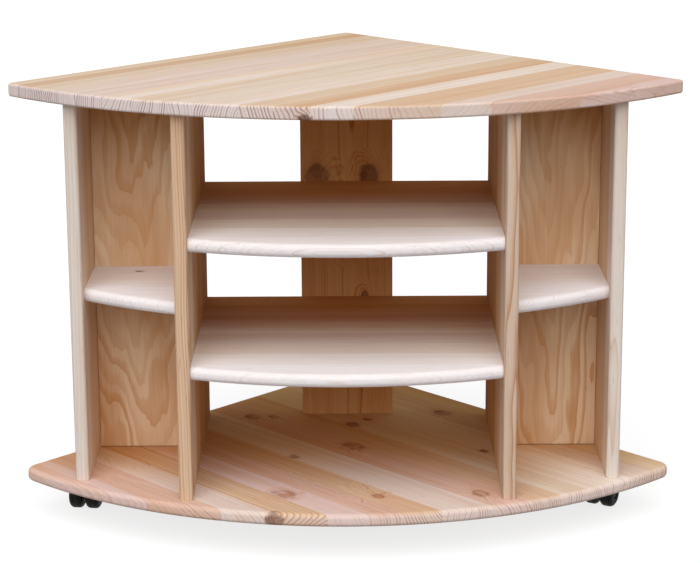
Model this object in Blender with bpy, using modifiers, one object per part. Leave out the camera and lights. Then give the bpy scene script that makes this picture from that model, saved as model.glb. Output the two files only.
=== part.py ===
"""A quarter-round corner stand for a television, in clear pine, on four twin-wheel castors.

The top and the base are quarter circles whose two straight edges meet at the back corner of the room.
X runs across the stand, +Y points to the back corner, +Z is up, and all sizes are in metres.
The origin is on the floor, under the middle of the whole stand.
Places in plan are worked out as (x, d), where d is the distance ahead of the back corner.
"""

import math

import bmesh
import bpy
from mathutils import Matrix, Vector

# Boards: quarter circles about the back corner
BOARD_RADIUS = 0.640
TOP_THICKNESS = 0.018
TOP_EDGE_ROUND = 0.0035
TOP_CORNER_RADIUS = 0.006
BASE_THICKNESS = 0.018
BASE_EDGE_ROUND = 0.0065
BASE_CORNER_RADIUS = 0.018
BACK_CORNER_RADIUS = 0.008
CLEAR_HEIGHT = 0.5236

# Uprights: two inner ones beside the centre bay, two outer ones near the wide corners
UPRIGHT_THICKNESS = 0.018
UPRIGHT_SETBACK = 0.015
UPRIGHT_ARRIS = 0.004
CENTRE_BAY_WIDTH = 0.412
CORNER_OVERHANG = 0.0815

# Shelves: heights are from the base's upper face to the shelf's upper face
SHELF_THICKNESS = 0.018
SHELF_NOSE_ROUND = 0.0082
LOWER_SHELF_HEIGHT = 0.183
UPPER_SHELF_HEIGHT = 0.357
CENTRE_SHELF_SETBACK = 0.024
SIDE_SHELF_HEIGHT = 0.267
SIDE_SHELF_SETBACK = 0.033

# Back plank behind the centre bay, and the plywood back of each side bay
PLANK_WIDTH = 0.134
PLANK_THICKNESS = 0.018
PLANK_ARRIS = 0.0015
PANEL_THICKNESS = 0.010

# Clearance between seated faces, and around a fixing in its hole
FIT_GAP = 0.0003

# Dowels of the top, the shelves and the side bays' backs
DOWEL_RADIUS = 0.004
DOWEL_IN_FACE = 0.012
DOWEL_IN_END = 0.020
DOWEL_FROM_EDGE = 0.040
END_ROOM = 0.0005
PAST_FACE = 0.001
PANEL_DOWEL_RADIUS = 0.003
PANEL_DOWEL_FROM_END = 0.090
PANEL_DOWEL_FROM_SIDE = 0.030

# Countersunk screws up through the base and through the plank
SCREW_LENGTH = 0.045
SCREW_RADIUS = 0.0025
SCREW_HEAD_RADIUS = 0.0046
SCREW_HEAD_HEIGHT = 0.0028
SCREW_SUNK = 0.0006
SCREW_FROM_EDGE = 0.024
PLANK_SCREW_SPACING = 0.080

# Castor: twin wheels on one axle, under a moulded hood that swivels on a kingpin
WHEEL_RADIUS = 0.020
WHEEL_WIDTH = 0.0193
WHEEL_SHOULDER = 0.0065
WHEEL_CAP_RADIUS = 0.0085
WHEEL_CAP_SUNK = 0.0010
WHEEL_BORE_DEPTH = 0.015
WHEEL_SIDE_ROOM = 0.0005
AXLE_RADIUS = 0.003
TRAIL = 0.018
HOOD_WIDTH = 0.028
HOOD_WALL = 0.0032
HOOD_ROUND = 0.0014
HOOD_SKIRT_HEIGHT = 0.0095
HOOD_TAIL_ANGLE = math.radians(15)
WHEEL_ROOM = 0.0008
WEB_THICKNESS = 0.003
HUB_RADIUS = 0.007
HUB_FROM = math.radians(-20)
HUB_TO = math.radians(-110)
BOSS_RADIUS = 0.0085
BOSS_RISE = 0.004
KINGPIN_RADIUS = 0.003
KINGPIN_HEAD_RADIUS = 0.0046
KINGPIN_WALL = 0.002
PLATE_THICKNESS = 0.002
PLATE_HOLE_PITCH = 0.028
PLATE_MARGIN = 0.0055
PLATE_CORNER_RADIUS = 0.004
PLATE_SCREW_LENGTH = 0.014
PLATE_SCREW_RADIUS = 0.00175
SCREW_FROM_PLATE = 0.008

# Where the castors stand: front ones from the wide corners, back ones from the back corner
FRONT_CASTOR_FROM_CORNER = 0.0865
FRONT_CASTOR_AHEAD = 0.0475
BACK_CASTOR_OFFSET = 0.095
BACK_CASTOR_AHEAD = 0.070
CASTOR_TURN = {
    "front_left": math.radians(262),
    "front_right": math.radians(242),
    "back_left": math.radians(96),
    "back_right": math.radians(84),
}

# Facets
ARC_STEPS = 40
SHELF_ARC_STEPS = 16
SIDE_SHELF_ARC_STEPS = 10
CORNER_STEPS = 5
WHEEL_STEPS = 20
POCKET_STEPS = 28
PIN_STEPS = 12
FIXING_STEPS = 8
SHOULDER_STEPS = 3
HOOD_STEPS = 9
HUB_STEPS = 4
PLATE_CORNER_STEPS = 2

# Distances under which two points of a mesh count as one
WELD = 0.00001
SAME_PLACE = 0.0001

# Worked-out places
corner_cut = math.sqrt(2) - 1
back_reach = BACK_CORNER_RADIUS * corner_cut
plan_centre = (BOARD_RADIUS + back_reach) / 2
wide_corner_x = BOARD_RADIUS / math.sqrt(2)
back_step = BASE_EDGE_ROUND * math.sqrt(2)
upright_front_radius = BOARD_RADIUS - UPRIGHT_SETBACK
inner_upright_x = CENTRE_BAY_WIDTH / 2
side_bay_start_x = inner_upright_x + UPRIGHT_THICKNESS
outer_face_x = wide_corner_x - CORNER_OVERHANG
outer_upright_x = outer_face_x - UPRIGHT_THICKNESS
inner_back_d = side_bay_start_x + back_step
panel_back_d = outer_upright_x + back_step
panel_front_d = panel_back_d + PANEL_THICKNESS

axle_height = WHEEL_RADIUS * math.cos(math.pi / WHEEL_STEPS)
pocket_radius = WHEEL_RADIUS + WHEEL_ROOM
hood_radius = pocket_radius + HOOD_WALL
boss_top = axle_height + hood_radius + BOSS_RISE
plate_bottom = boss_top + FIT_GAP
plate_top = plate_bottom + PLATE_THICKNESS
wheel_inner_face = WEB_THICKNESS / 2 + WHEEL_SIDE_ROOM

base_bottom = plate_top + FIT_GAP
base_top = base_bottom + BASE_THICKNESS
top_bottom = base_top + CLEAR_HEIGHT
carcass_bottom = base_top + FIT_GAP
carcass_top = top_bottom - FIT_GAP


def clear_scene():
    for obj in list(bpy.data.objects):
        bpy.data.objects.remove(obj, do_unlink=True)


def new_collection(name):
    collection = bpy.data.collections.new(name)
    bpy.context.scene.collection.children.link(collection)
    return collection


clear_scene()
STAND = new_collection("corner_tv_stand")
CUTTERS = new_collection("cutters")

FINISHES = {
    "pine_top": ((0.80, 0.62, 0.42), 0.45, 0.0),
    "pine_base": ((0.76, 0.58, 0.40), 0.45, 0.0),
    "pine_upright": ((0.74, 0.57, 0.39), 0.50, 0.0),
    "pine_shelf": ((0.80, 0.66, 0.50), 0.42, 0.0),
    "pine_panel": ((0.66, 0.46, 0.27), 0.55, 0.0),
    "pine_plank": ((0.48, 0.30, 0.15), 0.55, 0.0),
    "zinc": ((0.66, 0.66, 0.64), 0.35, 1.0),
    "steel": ((0.55, 0.55, 0.56), 0.25, 1.0),
    "black_hood": ((0.015, 0.015, 0.016), 0.45, 0.0),
    "black_wheel": ((0.010, 0.010, 0.011), 0.55, 0.0),
}


def finish(obj, kind):
    """Gives the object its own material."""
    colour, roughness, metallic = FINISHES[kind]
    material = bpy.data.materials.new(f"{obj.name}_{kind}")
    material.use_nodes = True
    shader = material.node_tree.nodes["Principled BSDF"]
    shader.inputs["Base Color"].default_value = (*colour, 1.0)
    shader.inputs["Roughness"].default_value = roughness
    shader.inputs["Metallic"].default_value = metallic
    obj.data.materials.clear()
    obj.data.materials.append(material)


def plan(x, d):
    """World x and y of a place that is x across and d ahead of the back corner."""
    return (x, plan_centre - d)


def arc(centre, radius, start, end, steps):
    """Points of an arc from one angle to the other, both ends included."""
    turns = [start + (end - start) * i / steps for i in range(steps + 1)]
    return [(centre[0] + radius * math.cos(a), centre[1] + radius * math.sin(a)) for a in turns]


def slab(points, thickness):
    """Closed mesh of a flat outline in XY, with its thickness centred on z = 0."""
    curve = bpy.data.curves.new("outline", "CURVE")
    curve.dimensions = "2D"
    curve.fill_mode = "BOTH"
    curve.extrude = thickness / 2
    spline = curve.splines.new("POLY")
    spline.points.add(len(points) - 1)
    for point, (x, y) in zip(spline.points, points):
        point.co = (x, y, 0.0, 1.0)
    spline.use_cyclic_u = True
    outline = bpy.data.objects.new("outline", curve)
    bpy.context.scene.collection.objects.link(outline)
    mesh = evaluated_mesh(outline)
    body = bmesh.new()
    body.from_mesh(mesh)
    bmesh.ops.remove_doubles(body, verts=body.verts, dist=WELD)
    bmesh.ops.dissolve_limit(body, angle_limit=math.radians(0.3), verts=body.verts, edges=body.edges)
    bmesh.ops.recalc_face_normals(body, faces=body.faces)
    body.to_mesh(mesh)
    body.free()
    return mesh


def block(size):
    """Closed mesh of a box of the given size, centred on the origin."""
    body = bmesh.new()
    bmesh.ops.create_cube(body, size=1.0, matrix=Matrix.Diagonal((*size, 1.0)))
    mesh = bpy.data.meshes.new("block")
    body.to_mesh(mesh)
    body.free()
    return mesh


def cylinder(radius, low, high, steps):
    """Closed mesh of a round bar about Z, from one height to the other."""
    middle = Matrix.Translation((0, 0, (low + high) / 2))
    body = bmesh.new()
    bmesh.ops.create_cone(
        body, cap_ends=True, segments=steps, radius1=radius, radius2=radius, depth=high - low, matrix=middle
    )
    mesh = bpy.data.meshes.new("cylinder")
    body.to_mesh(mesh)
    body.free()
    return mesh


def turned(profile, steps):
    """Closed mesh turned about Z. The profile of (radius, height) runs from the top down its outer side."""
    mesh = bpy.data.meshes.new("profile")
    mesh.from_pydata([(r, 0.0, z) for r, z in profile], [(i, i + 1) for i in range(len(profile) - 1)], [])
    lathe = bpy.data.objects.new("profile", mesh)
    bpy.context.scene.collection.objects.link(lathe)
    screw = lathe.modifiers.new("turn", "SCREW")
    screw.steps = steps
    screw.render_steps = steps
    screw.use_merge_vertices = True
    screw.merge_threshold = WELD
    return evaluated_mesh(lathe)


def evaluated_mesh(obj):
    """Plain mesh of an object as its modifiers leave it. The object itself is removed."""
    bpy.context.view_layer.update()
    evaluated = obj.evaluated_get(bpy.context.evaluated_depsgraph_get())
    mesh = bpy.data.meshes.new_from_object(evaluated)
    bpy.data.objects.remove(obj, do_unlink=True)
    return mesh


def placed(name, mesh, location, collection=STAND):
    obj = bpy.data.objects.new(name, mesh)
    obj.location = location
    collection.objects.link(obj)
    return obj


def rounding(obj, width, segments, chosen):
    """Rounds the edges that chosen(a, b) picks, where a and b are the ends of the edge."""
    weights = obj.data.attributes.new("bevel_weight_edge", "FLOAT", "EDGE")
    points = obj.data.vertices
    for edge in obj.data.edges:
        a, b = (points[i].co for i in edge.vertices)
        weights.data[edge.index].value = 1.0 if chosen(a, b) else 0.0
    bevel = obj.modifiers.new("rounding", "BEVEL")
    bevel.limit_method = "WEIGHT"
    bevel.width = width
    bevel.segments = segments


def shade(obj, angle=35):
    obj.data.shade_smooth()
    obj.data.set_sharp_from_angle(angle=math.radians(angle))


def pointed(start, direction):
    """Placement of a fixing that starts at a point and is driven along a direction."""
    turn = Vector((0, 0, 1)).rotation_difference(Vector(direction))
    return Matrix.Translation(Vector(start)) @ turn.to_matrix().to_4x4()


def repeated(mesh, placements):
    """One mesh with a copy of the given one at each placement."""
    body = bmesh.new()
    for placement in placements:
        first = len(body.verts)
        body.from_mesh(mesh)
        body.verts.ensure_lookup_table()
        bmesh.ops.transform(body, matrix=placement, verts=body.verts[first:])
    bmesh.ops.remove_doubles(body, verts=body.verts, dist=WELD)
    bmesh.ops.recalc_face_normals(body, faces=body.faces)
    joined = bpy.data.meshes.new("repeated")
    body.to_mesh(joined)
    body.free()
    return joined


HOLES = []


def fixing(name, solid, hole, placement, kind):
    """A screw of its own, and its hole for the boards that it enters."""
    obj = placed(name, solid.copy(), (0, 0, 0))
    obj.matrix_world = placement
    finish(obj, kind)
    shade(obj)
    HOLES.append((hole, placement))


def pegged(obj, peg, hole, placements):
    """Joins glued pegs to the piece that holds them. Their holes go to the boards that they enter."""
    pegs = placed(f"{obj.name}_pegs", repeated(peg, placements), (0, 0, 0), CUTTERS)
    pegs.display_type = "WIRE"
    pegs.hide_render = True
    union = obj.modifiers.new("pegs", "BOOLEAN")
    union.operation = "UNION"
    union.object = pegs
    HOLES.extend((hole, placement) for placement in placements)


def spans(box, mesh, placement):
    """Whether a placed hole reaches into a box."""
    corners = [placement @ v.co for v in mesh.vertices]
    return all(
        min(c[i] for c in corners) < box[1][i] and max(c[i] for c in corners) > box[0][i]
        for i in range(3)
    )


def cut(obj, cutter_mesh, name):
    cutter = placed(f"{obj.name}_{name}", cutter_mesh, (0, 0, 0), CUTTERS)
    cutter.display_type = "WIRE"
    cutter.hide_render = True
    boolean = obj.modifiers.new(name, "BOOLEAN")
    boolean.operation = "DIFFERENCE"
    boolean.object = cutter


def bore(obj):
    """Cuts the holes of all fixings that reach into the object."""
    corners = [obj.matrix_world @ Vector(c) for c in obj.bound_box]
    box = [[pick(c[i] for c in corners) for i in range(3)] for pick in (min, max)]
    body = bmesh.new()
    for mesh, placement in HOLES:
        if spans(box, mesh, placement):
            first = len(body.verts)
            body.from_mesh(mesh)
            body.verts.ensure_lookup_table()
            bmesh.ops.transform(body, matrix=placement, verts=body.verts[first:])
    if body.verts:
        bmesh.ops.remove_doubles(body, verts=body.verts, dist=WELD)
        bmesh.ops.recalc_face_normals(body, faces=body.faces)
        holes = bpy.data.meshes.new("holes")
        body.to_mesh(holes)
        cut(obj, holes, "holes")
    body.free()


# Quarter-round top and base
BOARDS = {}


def sector(radius, corner_radius):
    """Outline of a quarter circle ahead of the back corner, with its three corners rounded."""
    reach = math.sqrt((radius - corner_radius) ** 2 - corner_radius**2)
    across = (reach - corner_radius) / math.sqrt(2)
    ahead = (reach + corner_radius) / math.sqrt(2)
    lean = math.atan2(ahead, across)
    half = arc((0, 0), radius, math.pi / 2, lean, ARC_STEPS // 2)
    half += arc((across, ahead), corner_radius, lean, -math.pi / 4, CORNER_STEPS)[1:]
    back = (0, BACK_CORNER_RADIUS * math.sqrt(2))
    half += arc(back, BACK_CORNER_RADIUS, -math.pi / 4, -math.pi / 2, CORNER_STEPS - 2)
    mirrored = [(-x, d) for x, d in half[-2:0:-1]]
    return [plan(x, d) for x, d in half + mirrored]


def quarter_board(name, corner_radius, bottom, thickness, edge_round, segments, kind):
    mesh = slab(sector(BOARD_RADIUS, corner_radius), thickness)
    board = placed(name, mesh, (0, 0, bottom + thickness / 2))
    rounding(board, edge_round, segments, lambda a, b: abs(a.z - b.z) < thickness / 2)
    finish(board, kind)
    shade(board)
    BOARDS[name] = board


quarter_board(
    "top_board", TOP_CORNER_RADIUS, top_bottom, TOP_THICKNESS, TOP_EDGE_ROUND, 2, "pine_top"
)
quarter_board(
    "base_board", BASE_CORNER_RADIUS, base_bottom, BASE_THICKNESS, BASE_EDGE_ROUND, 3, "pine_base"
)


# Uprights, with their front arrises rounded
def front_of(x, radius):
    """How far ahead of the back corner an arc about that corner runs at x."""
    return math.sqrt(radius**2 - x**2)


def upright(name, side, near_x, back_near, back_far, front):
    """A standing board between near_x and its far face. Its back edge runs between the two depths."""
    far_x = near_x + UPRIGHT_THICKNESS
    section = [(near_x, back_near), (far_x, back_far), (far_x, front), (near_x, front)]
    height = carcass_top - carcass_bottom
    mesh = slab([plan(side * x, d) for x, d in section], height)
    board = placed(name, mesh, (0, 0, (carcass_top + carcass_bottom) / 2))
    front_y = plan(0, front)[1]
    rounding(
        board,
        UPRIGHT_ARRIS,
        3,
        lambda a, b: abs(a.z - b.z) > height / 2 and abs(a.y - front_y) < SAME_PLACE,
    )
    finish(board, "pine_upright")
    shade(board)
    BOARDS[name] = board


inner_front = front_of(inner_upright_x + UPRIGHT_THICKNESS / 2, upright_front_radius)
outer_front = front_of(outer_upright_x + UPRIGHT_THICKNESS / 2, upright_front_radius)
for hand, side in (("left", -1), ("right", 1)):
    upright(f"inner_upright_{hand}", side, inner_upright_x, inner_back_d, inner_back_d, inner_front)
    upright(
        f"outer_upright_{hand}", side, outer_upright_x, panel_back_d, outer_face_x + back_step, outer_front
    )


# Shelves, with a full round nose along their front arc
def shelf(name, start_x, end_x, back, radius, height, steps):
    """A shelf between two x places, from its back edge to an arc about the back corner."""
    low, high = sorted((start_x, end_x))
    start, end = math.acos(low / radius), math.acos(high / radius)
    outline = [(high, back)] + arc((0, 0), radius, end, start, steps) + [(low, back)]
    mesh = slab([plan(x, d) for x, d in outline], SHELF_THICKNESS)
    board = placed(name, mesh, (0, 0, base_top + height - SHELF_THICKNESS / 2))

    def on_nose(a, b):
        ends = [math.hypot(p.x, plan_centre - p.y) for p in (a, b)]
        return abs(a.z - b.z) < SHELF_THICKNESS / 2 and all(abs(r - radius) < SAME_PLACE for r in ends)

    rounding(board, SHELF_NOSE_ROUND, 4, on_nose)
    finish(board, "pine_shelf")
    shade(board)
    BOARDS[name] = board


centre_shelf_radius = BOARD_RADIUS - CENTRE_SHELF_SETBACK
side_shelf_radius = BOARD_RADIUS - SIDE_SHELF_SETBACK
centre_shelf_edge = inner_upright_x - FIT_GAP
CENTRE_SHELVES = {"lower_shelf": LOWER_SHELF_HEIGHT, "upper_shelf": UPPER_SHELF_HEIGHT}
for name, height in CENTRE_SHELVES.items():
    edge = centre_shelf_edge
    shelf(name, -edge, edge, inner_back_d, centre_shelf_radius, height, SHELF_ARC_STEPS)
side_shelf_near = side_bay_start_x + FIT_GAP
side_shelf_far = outer_upright_x - FIT_GAP
side_shelf_back = panel_front_d + FIT_GAP
for hand, side in (("left", -1), ("right", 1)):
    shelf(
        f"side_shelf_{hand}",
        side * side_shelf_near,
        side * side_shelf_far,
        side_shelf_back,
        side_shelf_radius,
        SIDE_SHELF_HEIGHT,
        SIDE_SHELF_ARC_STEPS,
    )


# Back plank and the side bays' plywood backs
def standing_board(name, start_x, end_x, back, thickness, arris, kind):
    """A board that stands across the stand, full height between the base and the top."""
    height = carcass_top - carcass_bottom
    mesh = block((abs(end_x - start_x), thickness, height))
    middle = plan((start_x + end_x) / 2, back + thickness / 2)
    board = placed(name, mesh, (*middle, (carcass_top + carcass_bottom) / 2))
    if arris:
        rounding(board, arris, 2, lambda a, b: abs(a.z - b.z) > height / 2)
    finish(board, kind)
    shade(board)
    BOARDS[name] = board


plank_front_d = inner_back_d - FIT_GAP
plank_back_d = plank_front_d - PLANK_THICKNESS
standing_board(
    "back_plank", -PLANK_WIDTH / 2, PLANK_WIDTH / 2, plank_back_d, PLANK_THICKNESS, PLANK_ARRIS, "pine_plank"
)
for hand, side in (("left", -1), ("right", 1)):
    standing_board(
        f"side_back_{hand}",
        side * side_shelf_near,
        side * side_shelf_far,
        panel_back_d,
        PANEL_THICKNESS,
        0.0,
        "pine_panel",
    )


# Dowels: each is glued in the end of one board and enters the face of the next
def dowel(radius, in_face, in_end):
    """A dowel's mesh and its hole. The face that it enters is z = 0, and it is glued in above that."""
    solid = cylinder(radius, -in_face, in_end, FIXING_STEPS)
    hole = cylinder(radius + FIT_GAP, -in_face - END_ROOM, FIT_GAP / 2, FIXING_STEPS)
    return solid, hole


def at(x, d, z):
    return (*plan(x, d), z)


outer_middle_x = outer_upright_x + UPRIGHT_THICKNESS / 2
inner_middle_x = inner_upright_x + UPRIGHT_THICKNESS / 2
inner_ends = (inner_back_d, inner_front)
outer_ends = (outer_face_x + back_step, outer_front)
front_castor_x = wide_corner_x - FRONT_CASTOR_FROM_CORNER
front_castor_d = front_castor_x + FRONT_CASTOR_AHEAD
plate_size = PLATE_HOLE_PITCH + 2 * PLATE_MARGIN
plate_reach = plate_size / math.sqrt(2)
plank_middle_d = (plank_front_d + plank_back_d) / 2
side_shelf_level = base_top + SIDE_SHELF_HEIGHT - SHELF_THICKNESS / 2
side_shelf_front = front_of(outer_upright_x, side_shelf_radius)
panel_middle_d = panel_back_d + PANEL_THICKNESS / 2
panel_levels = (carcass_bottom + PANEL_DOWEL_FROM_END, carcass_top - PANEL_DOWEL_FROM_END)
centre_shelf_ends = (inner_back_d, front_of(inner_upright_x, centre_shelf_radius))
board_dowel, board_dowel_hole = dowel(DOWEL_RADIUS, DOWEL_IN_FACE, DOWEL_IN_END)
panel_dowel, panel_dowel_hole = dowel(PANEL_DOWEL_RADIUS, DOWEL_IN_FACE, DOWEL_IN_END)


def inset(ends, distance):
    return (ends[0] + distance, ends[1] - distance)


def top_pegs(board, places):
    """Dowels that stand out of a standing board's upper end into the top."""
    placements = [pointed(at(x, d, top_bottom), (0, 0, -1)) for x, d in places]
    pegged(board, board_dowel, board_dowel_hole, placements)


for hand, side in (("left", -1), ("right", 1)):
    top_pegs(
        BOARDS[f"inner_upright_{hand}"],
        [(side * inner_middle_x, d) for d in inset(inner_ends, DOWEL_FROM_EDGE)],
    )
    top_pegs(
        BOARDS[f"outer_upright_{hand}"],
        [(side * outer_middle_x, d) for d in inset(outer_ends, DOWEL_FROM_EDGE / 2)],
    )
    pegged(
        BOARDS[f"side_shelf_{hand}"],
        board_dowel,
        board_dowel_hole,
        [
            pointed(at(x, d, side_shelf_level), (inward, 0, 0))
            for x, inward in ((side * side_bay_start_x, side), (side * outer_upright_x, -side))
            for d in inset((side_shelf_back, side_shelf_front), DOWEL_FROM_EDGE / 2)
        ],
    )
    near, far = side * side_bay_start_x, side * (outer_upright_x - PANEL_DOWEL_FROM_SIDE)
    pegged(
        BOARDS[f"side_back_{hand}"],
        panel_dowel,
        panel_dowel_hole,
        [pointed(at(near, panel_middle_d, z), (side, 0, 0)) for z in panel_levels]
        + [pointed(at(far, panel_middle_d, z), (0, 0, up)) for z, up in ((base_top, 1), (top_bottom, -1))],
    )
top_pegs(BOARDS["back_plank"], [(side * PLANK_SCREW_SPACING / 2, plank_middle_d) for side in (-1, 1)])
for name, height in CENTRE_SHELVES.items():
    pegged(
        BOARDS[name],
        board_dowel,
        board_dowel_hole,
        [
            pointed(at(side * inner_upright_x, d, base_top + height - SHELF_THICKNESS / 2), (-side, 0, 0))
            for side in (-1, 1)
            for d in inset(centre_shelf_ends, DOWEL_FROM_EDGE)
        ],
    )


# Countersunk screws: sunk a little into the face that they are driven through
def countersunk(length, radius, head_radius, head_height, sunk):
    """A screw's mesh and its hole. The face that it is driven through is z = 0, and it points along +Z."""
    tip = sunk + length
    taper = radius * 1.6
    solid = turned(
        [(0, tip), (radius, tip - taper), (radius, sunk + head_height), (head_radius, sunk), (0, sunk)],
        FIXING_STEPS,
    )
    deep = tip + END_ROOM
    wide, mouth = radius + FIT_GAP, head_radius + FIT_GAP
    sides = [(wide, deep), (wide, sunk + head_height), (mouth, sunk), (mouth, -PAST_FACE)]
    return solid, turned([(0, deep), *sides, (0, -PAST_FACE)], FIXING_STEPS)


wood_screw, wood_screw_hole = countersunk(
    SCREW_LENGTH, SCREW_RADIUS, SCREW_HEAD_RADIUS, SCREW_HEAD_HEIGHT, SCREW_SUNK
)
outer_screw_ends = (
    front_castor_d + plate_reach + SCREW_FROM_PLATE,
    outer_front - SCREW_FROM_EDGE / 2,
)
for hand, side in (("left", -1), ("right", 1)):
    for kind, x, ends in (
        ("inner", inner_middle_x, inset(inner_ends, SCREW_FROM_EDGE)),
        ("outer", outer_middle_x, outer_screw_ends),
    ):
        for place, d in zip(("rear", "front"), ends):
            fixing(
                f"screw_{kind}_upright_{hand}_{place}",
                wood_screw,
                wood_screw_hole,
                pointed(at(side * x, d, base_bottom), (0, 0, 1)),
                "zinc",
            )
    x = side * PLANK_SCREW_SPACING / 2
    fixing(
        f"screw_plank_foot_{hand}",
        wood_screw,
        wood_screw_hole,
        pointed(at(x, plank_middle_d, base_bottom), (0, 0, 1)),
        "zinc",
    )
    for name, height in CENTRE_SHELVES.items():
        fixing(
            f"screw_plank_{name}_{hand}",
            wood_screw,
            wood_screw_hole,
            pointed(at(x, plank_back_d, base_top + height - SHELF_THICKNESS / 2), (0, -1, 0)),
            "zinc",
        )


# Castor plates with their four screws, and kingpins. The plates lie square to the base's back edges
CASTOR_PLACES = {
    "front_left": (-front_castor_x, front_castor_d),
    "front_right": (front_castor_x, front_castor_d),
    "back_left": (-BACK_CASTOR_OFFSET, BACK_CASTOR_OFFSET + BACK_CASTOR_AHEAD),
    "back_right": (BACK_CASTOR_OFFSET, BACK_CASTOR_OFFSET + BACK_CASTOR_AHEAD),
}


def rounded_square(size, radius):
    half = size / 2 - radius
    points = []
    for i, (x, y) in enumerate(((half, half), (-half, half), (-half, -half), (half, -half))):
        start = i * math.pi / 2
        points += arc((x, y), radius, start, start + math.pi / 2, PLATE_CORNER_STEPS)
    return points


pocket_reach = max(0.0, pocket_radius**2 - (TRAIL - KINGPIN_RADIUS - FIT_GAP) ** 2)
kingpin_bottom = axle_height + math.sqrt(pocket_reach) + KINGPIN_WALL
kingpin_flare = KINGPIN_HEAD_RADIUS - KINGPIN_RADIUS
kingpin_hole = turned(
    [
        (0, plate_top + FIT_GAP),
        (KINGPIN_HEAD_RADIUS + 2 * FIT_GAP, plate_top + FIT_GAP),
        (KINGPIN_RADIUS + FIT_GAP, plate_top - kingpin_flare),
        (KINGPIN_RADIUS + FIT_GAP, kingpin_bottom - END_ROOM),
        (0, kingpin_bottom - END_ROOM),
    ],
    PIN_STEPS,
)
kingpin = turned(
    [
        (0, plate_top),
        (KINGPIN_HEAD_RADIUS, plate_top),
        (KINGPIN_RADIUS, plate_top - kingpin_flare),
        (KINGPIN_RADIUS, kingpin_bottom + kingpin_flare / 2),
        (KINGPIN_RADIUS - kingpin_flare / 2, kingpin_bottom),
        (0, kingpin_bottom),
    ],
    PIN_STEPS,
)
screw_in_base = PLATE_SCREW_LENGTH - PLATE_THICKNESS
plate_screw = turned(
    [
        (0, screw_in_base),
        (PLATE_SCREW_RADIUS, screw_in_base - PLATE_SCREW_RADIUS),
        (PLATE_SCREW_RADIUS, -PLATE_THICKNESS / 2),
        (0, -PLATE_THICKNESS / 2),
    ],
    FIXING_STEPS,
)
plate_screw_hole = cylinder(PLATE_SCREW_RADIUS + FIT_GAP, FIT_GAP / 2, screw_in_base + END_ROOM, FIXING_STEPS)

for corner, (x, d) in CASTOR_PLACES.items():
    plate = placed(
        f"castor_plate_{corner}",
        slab(rounded_square(plate_size, PLATE_CORNER_RADIUS), PLATE_THICKNESS),
        at(x, d, plate_bottom + PLATE_THICKNESS / 2),
    )
    plate.rotation_euler = (0, 0, math.radians(45))
    finish(plate, "zinc")
    shade(plate)
    screw_reach = PLATE_HOLE_PITCH / math.sqrt(2)
    pegged(
        plate,
        plate_screw,
        plate_screw_hole,
        [
            pointed(at(x + across * screw_reach, d + ahead * screw_reach, plate_top), (0, 0, 1))
            for across, ahead in ((1, 0), (0, 1), (-1, 0), (0, -1))
        ],
    )
    cut(plate, repeated(kingpin_hole, [Matrix.Translation(at(x, d, 0))]), "kingpin_hole")
    pin = placed(f"castor_kingpin_{corner}", kingpin.copy(), at(x, d, 0))
    finish(pin, "steel")
    shade(pin)


# Castor hood: side outline, wheel pockets either side of a web, kingpin socket and axle hole
def hood_outline():
    """The hood from its side: x is behind the swivel axis and y is the height."""
    meet = math.acos((BOSS_RADIUS - TRAIL) / hood_radius)
    wheel_centre = (TRAIL, axle_height)
    tail = wheel_centre[0] + pocket_radius * math.cos(HOOD_TAIL_ANGLE)
    tail_height = wheel_centre[1] + pocket_radius * math.sin(HOOD_TAIL_ANGLE)
    outline = [(-BOSS_RADIUS, boss_top), (BOSS_RADIUS, boss_top)]
    outline += arc(wheel_centre, hood_radius, meet, HOOD_TAIL_ANGLE, HOOD_STEPS)
    outline.append((tail, tail_height))
    outline += arc(wheel_centre, HUB_RADIUS, HUB_FROM, HUB_TO, HUB_STEPS)
    skirt_corner = HOOD_WALL
    outline += [
        (0.0, HOOD_SKIRT_HEIGHT),
        (skirt_corner - BOSS_RADIUS, HOOD_SKIRT_HEIGHT),
        (-BOSS_RADIUS, HOOD_SKIRT_HEIGHT + skirt_corner),
    ]
    return outline


def pocket_cutters():
    """Two wheel pockets and the axle hole, as one cutter about the wheels' axis."""
    pocket = cylinder(pocket_radius, WEB_THICKNESS / 2, HOOD_WIDTH, POCKET_STEPS)
    sideways = [Matrix.Rotation(math.radians(turn), 4, "X") for turn in (90, -90)]
    return repeated(pocket, [Matrix.Translation((TRAIL, 0, axle_height)) @ turn for turn in sideways])


def axle_hole_cutter():
    hole = cylinder(AXLE_RADIUS + FIT_GAP, -WEB_THICKNESS, WEB_THICKNESS, PIN_STEPS)
    hole.transform(Matrix.Translation((TRAIL, 0, axle_height)) @ Matrix.Rotation(math.radians(90), 4, "X"))
    return hole


def moulded_hood():
    """One hood in its own frame, with the swivel axis at the origin and the wheels behind it along +X."""
    mesh = slab(hood_outline(), HOOD_WIDTH)
    mesh.transform(Matrix.Rotation(math.radians(90), 4, "X"))
    pattern = placed("hood_pattern", mesh, (0, 0, 0), CUTTERS)
    side_face = HOOD_WIDTH / 2
    rounding(
        pattern,
        HOOD_ROUND,
        2,
        lambda a, b: abs(abs(a.y) - side_face) < SAME_PLACE and abs(a.y - b.y) < SAME_PLACE,
    )
    cut(pattern, pocket_cutters(), "wheel_pockets")
    cut(pattern, kingpin_hole.copy(), "kingpin_socket")
    cut(pattern, axle_hole_cutter(), "axle_hole")
    return evaluated_mesh(pattern)


hood_mesh = moulded_hood()


# Axle and wheels
axle_half = wheel_inner_face + WHEEL_BORE_DEPTH - END_ROOM
axle_mesh = cylinder(AXLE_RADIUS, -axle_half, axle_half, PIN_STEPS)


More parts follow.
